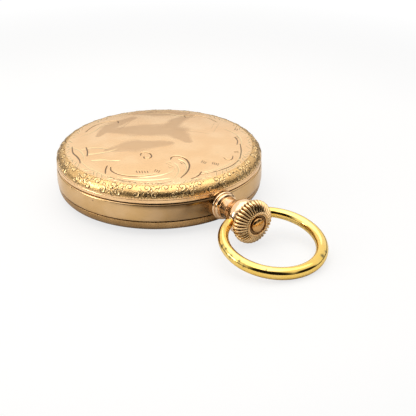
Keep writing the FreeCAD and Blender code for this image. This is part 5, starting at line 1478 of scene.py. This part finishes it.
@dataclass
class Bow:
    """The ring: a round wire that thins towards its two pegs."""

    places: Places
    radius: float = 11.05
    wire: float = 1.33
    thin: float = 1.12
    thick: float = 1.42
    face: float = 4.35
    peg: float = 0.7

    @staticmethod
    def wear(angle: Array, turn: Array) -> Dict[str, Array]:
        """Rubbed and nicked places on the wire.

        Args:
            angle: Bearings of the wire's sections.
            turn: Angles round each section.

        Returns:
            The numbers to store on its corners.
        """
        around = np.concatenate([angle[:1], angle, angle[-1:]])[:, None]
        nick = np.zeros((len(around), len(turn)))
        rub = np.zeros_like(nick)
        spots = [
            (-0.30, 0.5, 0.035, 0.5), (-0.18, 0.9, 0.03, 0.35), (0.02, 0.6, 0.045, 0.5),
            (0.22, 0.8, 0.03, 0.4),
            (0.34, 0.4, 0.02, 0.3), (2.05, 1.1, 0.05, 0.4), (2.22, 0.9, 0.03, 0.3), (0.75, 1.0, 0.02, 0.3),
        ]
        for at, side, length, width in spots:
            off = np.angle(np.exp(1j * (turn[None, :] - side)))
            nick = np.maximum(nick, np.exp(-(((around - at) / length) ** 2) - (off / width) ** 2))
        patches = [(0.1, 0.8, 0.5, 0.8), (2.15, 1.0, 0.35, 0.6), (-0.9, 1.2, 0.3, 0.6)]
        for at, side, length, width in patches:
            off = np.angle(np.exp(1j * (turn[None, :] - side)))
            rub = np.maximum(rub, np.exp(-(((around - at) / length) ** 2) - (off / width) ** 2))
        return {"cut": nick * 0.75, "pale": 0 * nick, "ground": 0.35 * rub, "cloud": 0.5 * rub}

    def build(self, finishes: Finishes) -> None:
        """Sweeps the wire and sets the pegs.

        Args:
            finishes: The materials of the watch.
        """
        offset = math.sqrt(self.radius**2 - (self.face + 0.1) ** 2)
        reach = offset + self.radius
        drop = math.asin((self.places.stem_z - self.wire - 0.03) / reach)
        half = math.asin(self.face / self.radius)
        rows, sides = 260, 40
        angle = np.linspace(-math.pi / 2 + half, 1.5 * math.pi - half, rows)
        t = np.linspace(0, 1, rows)
        far = np.sin(math.pi * t) ** 1.2
        wire = self.thin + (self.thick - self.thin) * far
        end = np.minimum(t, 1 - t) * rows
        wire = wire * np.where(end < 3, 0.90 + 0.10 * np.sqrt(np.clip(end / 3, 0, 1)), 1.0)
        turn = np.arange(sides) * TAU / sides
        ring = self.radius + wire[:, None] * np.cos(turn)
        x = ring * np.cos(angle)[:, None]
        y = offset + ring * np.sin(angle)[:, None]
        z = wire[:, None] * np.sin(turn) + np.maximum(wire - self.wire, 0)[:, None]
        flat = np.stack([x, y, z], -1)
        centres = [np.broadcast_to(c.mean(1, keepdims=True), c.shape) for c in (flat[:1], flat[-1:])]
        flat = np.concatenate([centres[0], flat, centres[1]], 0)
        points = flat.copy()
        lean_y, lean_z = math.cos(drop), math.sin(drop)
        points[..., 1] = self.places.bow_y + flat[..., 1] * lean_y + flat[..., 2] * lean_z
        points[..., 2] = self.places.stem_z - flat[..., 1] * lean_z + flat[..., 2] * lean_y
        thing = welded("bow_wire", points, grid_faces(rows + 2, sides, False), self.wear(angle, turn))
        place(thing, "bow", finishes.bow, "bow_gold", "bow")
        for side in (-1, 1):
            corners = [(0, 2.95), (self.peg, 2.95), (self.peg, self.face + 0.5), (0, self.face + 0.5)]
            shape = Turned(spaced(fillet(corners, 0.1, 3), 0.3), 32)
            local = shape.points()
            local[..., 2] *= side
            axis = (self.places.bow_y, self.places.stem_z)
            name = f"bow_peg_{'right' if side > 0 else 'left'}"
            peg = welded(name, about_x(local, *axis), shape.faces())
            place(peg, "bow", finishes.bow, "bow_gold")


# ====================================================================== dial side
@dataclass
class Dial:
    """Enamel dial print: chapter ring, roman hours and a seconds track.

    The dial faces down, so seen from +Z its hours run the other way round.
    """

    places: Places
    hours_radius: float = 15.9
    track_radius: float = 19.2
    seconds_radius: float = 3.75
    seconds_y: float = -10.6
    height: float = 0.012
    seconds_sink: float = 0.12
    ring_parts: int = 180

    NUMERALS = ("XII", "I", "II", "III", "IIII", "V", "VI", "VII", "VIII", "IX", "X", "XI")

    @staticmethod
    def bar(a: Point2, b: Point2, width: float) -> List[Point2]:
        """A stroke of the print as four corners."""
        d = np.array(b) - np.array(a)
        n = np.array([-d[1], d[0]]) / max(float(np.hypot(*d)), 1e-9) * width / 2
        start, end = np.array(a), np.array(b)
        return [tuple(start + n), tuple(end + n), tuple(end - n), tuple(start - n)]

    def letter(self, kind: str) -> Tuple[List[List[Point2]], float]:
        """Draws a letter upright from x = 0.

        Args:
            kind: I, V or X.

        Returns:
            The corners of each of its strokes, and its width.
        """
        tall, thick, thin = 3.1, 0.52, 0.16
        strokes, width = {
            "I": ([((0.45, 0), (0.45, tall), thick)], 0.95),
            "V": ([((0.35, tall), (1.0, 0), thick), ((1.65, tall), (1.0, 0), thin)], 2.0),
            "X": ([((0.35, tall), (1.65, 0), thick), ((1.65, tall), (0.35, 0), thin)], 2.0),
        }[kind]
        marks = [self.bar(a, b, w) for a, b, w in strokes]
        for a, b, _ in strokes:
            for x, y in (a, b):
                if not (kind == "V" and y == 0):
                    marks.append(self.bar((x - 0.42, y), (x + 0.42, y), thin))
        return marks, width

    def build(self, finishes: Finishes) -> None:
        """Prints the dial.

        Args:
            finishes: The materials of the watch.
        """
        z = self.places.span("dial")[0][2]
        quads: List[List[Point2]] = []
        for hour, text in enumerate(self.NUMERALS):
            if text == "VI":
                continue
            letters = [self.letter(c) for c in text]
            width = sum(w for _, w in letters) + 0.12 * (len(text) - 1)
            x = -width / 2
            turn = TAU * hour / 12
            for marks, w in letters:
                for quad in marks:
                    made = []
                    for px, py in quad:
                        a, b = -(x + px) * 0.86, self.hours_radius - 1.55 + py
                        c, s = math.cos(turn), math.sin(turn)
                        made.append((a * c - b * s, a * s + b * c))
                    quads.append(made)
                x += w + 0.12
        rings = [
            (0.0, 0.0, self.track_radius, 0.09), (0.0, 0.0, self.track_radius - 0.75, 0.09),
            (0.0, self.seconds_y, self.seconds_radius, 0.07),
            (0.0, self.seconds_y, self.seconds_radius - 0.45, 0.05),
        ]
        for minute in range(60):
            a = TAU * minute / 60
            long = minute % 5 == 0
            tracks = [
                (0, 0, self.track_radius, 0.75, 0.28 if long else 0.10),
                (0, self.seconds_y, self.seconds_radius, 0.45, 0.12 if long else 0.05),
            ]
            s, c = math.sin(a), math.cos(a)
            for cx, cy, r, depth, w in tracks:
                inner = r - depth
                quads.append(self.bar((cx + r * s, cy + r * c), (cx + inner * s, cy + inner * c), w))
        for cx, cy, r, w in rings:
            for k in range(self.ring_parts):
                a, b = TAU * k / self.ring_parts, TAU * (k + 1) / self.ring_parts
                around = ((r, a), (r, b), (r - w, b), (r - w, a))
                quads.append([(cx + q * math.cos(t), cy + q * math.sin(t)) for q, t in around])
        points, faces = [], []
        for quad in quads:
            first = len(points)
            in_sink = all(math.hypot(x, y - self.seconds_y) < 4.1 for x, y in quad)
            level = z + (self.seconds_sink if in_sink else 0.0)
            points += [(x, y, level - self.height) for x, y in quad]
            points += [(x, y, level + self.height) for x, y in quad]
            faces += [tuple(first + k for k in (0, 1, 2, 3)), tuple(first + k for k in (7, 6, 5, 4))]
            faces += [tuple(first + k for k in (a, (a + 1) % 4, (a + 1) % 4 + 4, a + 4)) for a in range(4)]
        thing = mesh_object("dial_print", np.array(points), faces)
        thing.data.polygons.foreach_set("use_smooth", np.zeros(len(thing.data.polygons), bool))
        place(thing, "case", finishes.print, "dial_enamel")


@dataclass
class Movement:
    """The works keep their CAD shapes and get their finishes."""

    places: Places

    def build(self, finishes: Finishes) -> None:
        """Dresses every CAD node that still shows.

        Args:
            finishes: The materials of the watch.
        """
        wheels = (
            "center_wheel", "third_wheel", "fourth_wheel", "minute_wheel", "hour_wheel", "mainspring_barrel",
            "barrel_cover", "balance_wheel", "balance_screws",
        )
        ratchet = finishes.snailed("snailed_ratchet", self.places.joint("ratchet_turn")[:2])
        crown_wheel = finishes.snailed("snailed_crown_wheel", self.places.joint("crown_wheel_turn")[:2])
        groups = {
            finishes.nickel: ("barrel_bridge", "train_bridge", "balance_cock", "pallet_cock"),
            finishes.plate: ("main_plate",),
            finishes.gilt: wheels,
            ratchet: ("ratchet_wheel",),
            crown_wheel: ("winding_wheel", "crown_wheel"),
            finishes.blued: (
                "hairspring", "bridge_screws", "case_screws", "hour_hand", "minute_hand", "seconds_hand",
            ),
            finishes.ruby: ("plate_jewels", "bridge_jewels", "endstones", "pallet_stones", "impulse_jewel"),
            finishes.enamel: ("dial",),
            finishes.inner: ("hinge_pins",),
        }
        chosen = {node: finish for finish, nodes in groups.items() for node in nodes}
        for name, thing in self.places.frame["nodes"].items():
            if thing.hide_render:
                continue
            finish = chosen.get(name, finishes.steel)
            thing.data.materials.clear()
            thing.data.materials.append(finish)
            LOG.info("%s: dressed in %s", name, finish.name)


# ====================================================================== the studio
@dataclass
class Studio:
    """Floor, lights, surroundings and camera."""

    target: Tuple[float, float, float] = (6.76, 28.55, 8.23)
    eye: Tuple[float, float, float] = (148.4, 215.4, 126.33)
    roll: float = -0.0062
    lens: float = 101.05
    glow: float = 1.0
    doorway: Tuple[float, float, float] = (-0.52, 0.82, 0.24)

    def axes(self) -> Tuple[Vector, Vector, Vector]:
        """The camera's forward, right and up."""
        forward = (Vector(self.target) - Vector(self.eye)).normalized()
        right = forward.cross(Vector((0, 0, 1))).normalized()
        up = right.cross(forward)
        c, s = math.cos(self.roll), math.sin(self.roll)
        return forward, right * c + up * s, up * c - right * s

    def camera(self) -> None:
        """Makes the camera."""
        data = bpy.data.cameras.new("camera")
        data.sensor_width, data.lens = 36.0, self.lens
        data.clip_start, data.clip_end = 0.01, 10.0
        made = bpy.data.objects.new("camera", data)
        forward, right, up = self.axes()
        turned = Matrix((right, up, -forward)).transposed().to_4x4()
        made.matrix_world = Matrix.Translation(Vector(self.eye) * MM) @ turned
        bpy.context.scene.collection.objects.link(made)
        bpy.context.scene.camera = made

    def light(self, name: str, at: RGB, size: Point2, power: float, tint: RGB = (1, 1, 1)) -> None:
        """Adds a soft rectangular light aimed at the watch; lengths in millimetres, power in watts."""
        data = bpy.data.lights.new(name, "AREA")
        data.shape, data.size, data.size_y = "RECTANGLE", size[0] * MM, size[1] * MM
        data.energy, data.color = power, tint
        made = bpy.data.objects.new(name, data)
        made.location = Vector(at) * MM
        aim = Vector((0, 10, 8)) * MM - made.location
        made.rotation_mode = "QUATERNION"
        made.rotation_quaternion = aim.to_track_quat("-Z", "Y")
        bpy.context.scene.collection.objects.link(made)

    def surroundings(self) -> None:
        """Makes the room: bright all round, dim where the viewer stands and low on the far side."""
        world = bpy.data.worlds.new("studio")
        bpy.context.scene.world = world
        world.use_nodes = True
        g = Graph(world.node_tree)
        way = g.node("ShaderNodeTexCoord", out="Generated")
        back = -self.axes()[0]
        back.z = 0.22
        back.normalize()
        dot = {"operation": "DOT_PRODUCT"}
        facing = g.node("ShaderNodeVectorMath", dot, {0: way, 1: tuple(back)}, "Value")
        viewer = facing.ramp(0.58, 0.86)
        aside = g.node("ShaderNodeVectorMath", dot, {0: way, 1: self.doorway}, "Value")
        doorway = aside.ramp(0.88, 0.97)
        up = g.axis(way, "Z")
        sky = g.mix((0.025, 0.02, 0.015), (1.02, 1.0, 0.98), up.ramp(0.05, 0.26))
        room = g.mix(g.mix(sky, (0.012, 0.010, 0.009), viewer), (0.02, 0.016, 0.012), doorway)
        plain = g.node("ShaderNodeLightPath", out="Is Camera Ray")
        seen = g.mix(room, (1.0, 1.0, 1.0), plain)
        glow = g.node("ShaderNodeBackground", inputs={"Color": seen, "Strength": self.glow})
        g.node("ShaderNodeOutputWorld", inputs={"Surface": glow})

    def floor(self, finishes: Finishes) -> None:
        """Makes a wide pale disc under the watch."""
        rings = [(r, 0.0) for r in (0.0, 50.0, 120.0, 300.0, 900.0, 3000.0)]
        shape = Turned(np.array(rings), 96)
        thing = welded("floor", shape.points() + np.array([0, 0, -0.02]), shape.faces())
        thing.data.materials.append(finishes.floor)

    def build(self, finishes: Finishes) -> None:
        """Sets the studio up.

        Args:
            finishes: The materials of the watch.
        """
        scene = bpy.context.scene
        scene.view_settings.view_transform = "Standard"
        scene.view_settings.look = "None"
        self.camera()
        self.surroundings()
        self.floor(finishes)
        self.light("overhead", (10, -20, 420), (640, 560), 1.5)
        self.light("left_wall", (380, -160, 150), (160, 160), 0.5)


def corners(box: Tuple[Vector, Vector]) -> List[List[float]]:
    """A box as plain lists."""
    return [[float(v) for v in corner] for corner in box]


def main() -> None:
    """Builds every sub-assembly in order."""
    logging.basicConfig(level=logging.INFO, format="%(message)s")
    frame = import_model()
    finishes = Finishes()
    places = Places(frame)
    for part in (
        BackCover(places), CaseBand(places), Bezel(places), InnerCover(places), Pendant(places),
        Crown(places), Bow(places), Dial(places), Movement(places), Studio(),
    ):
        part.build(finishes)


if __name__ == "__main__":
    main()
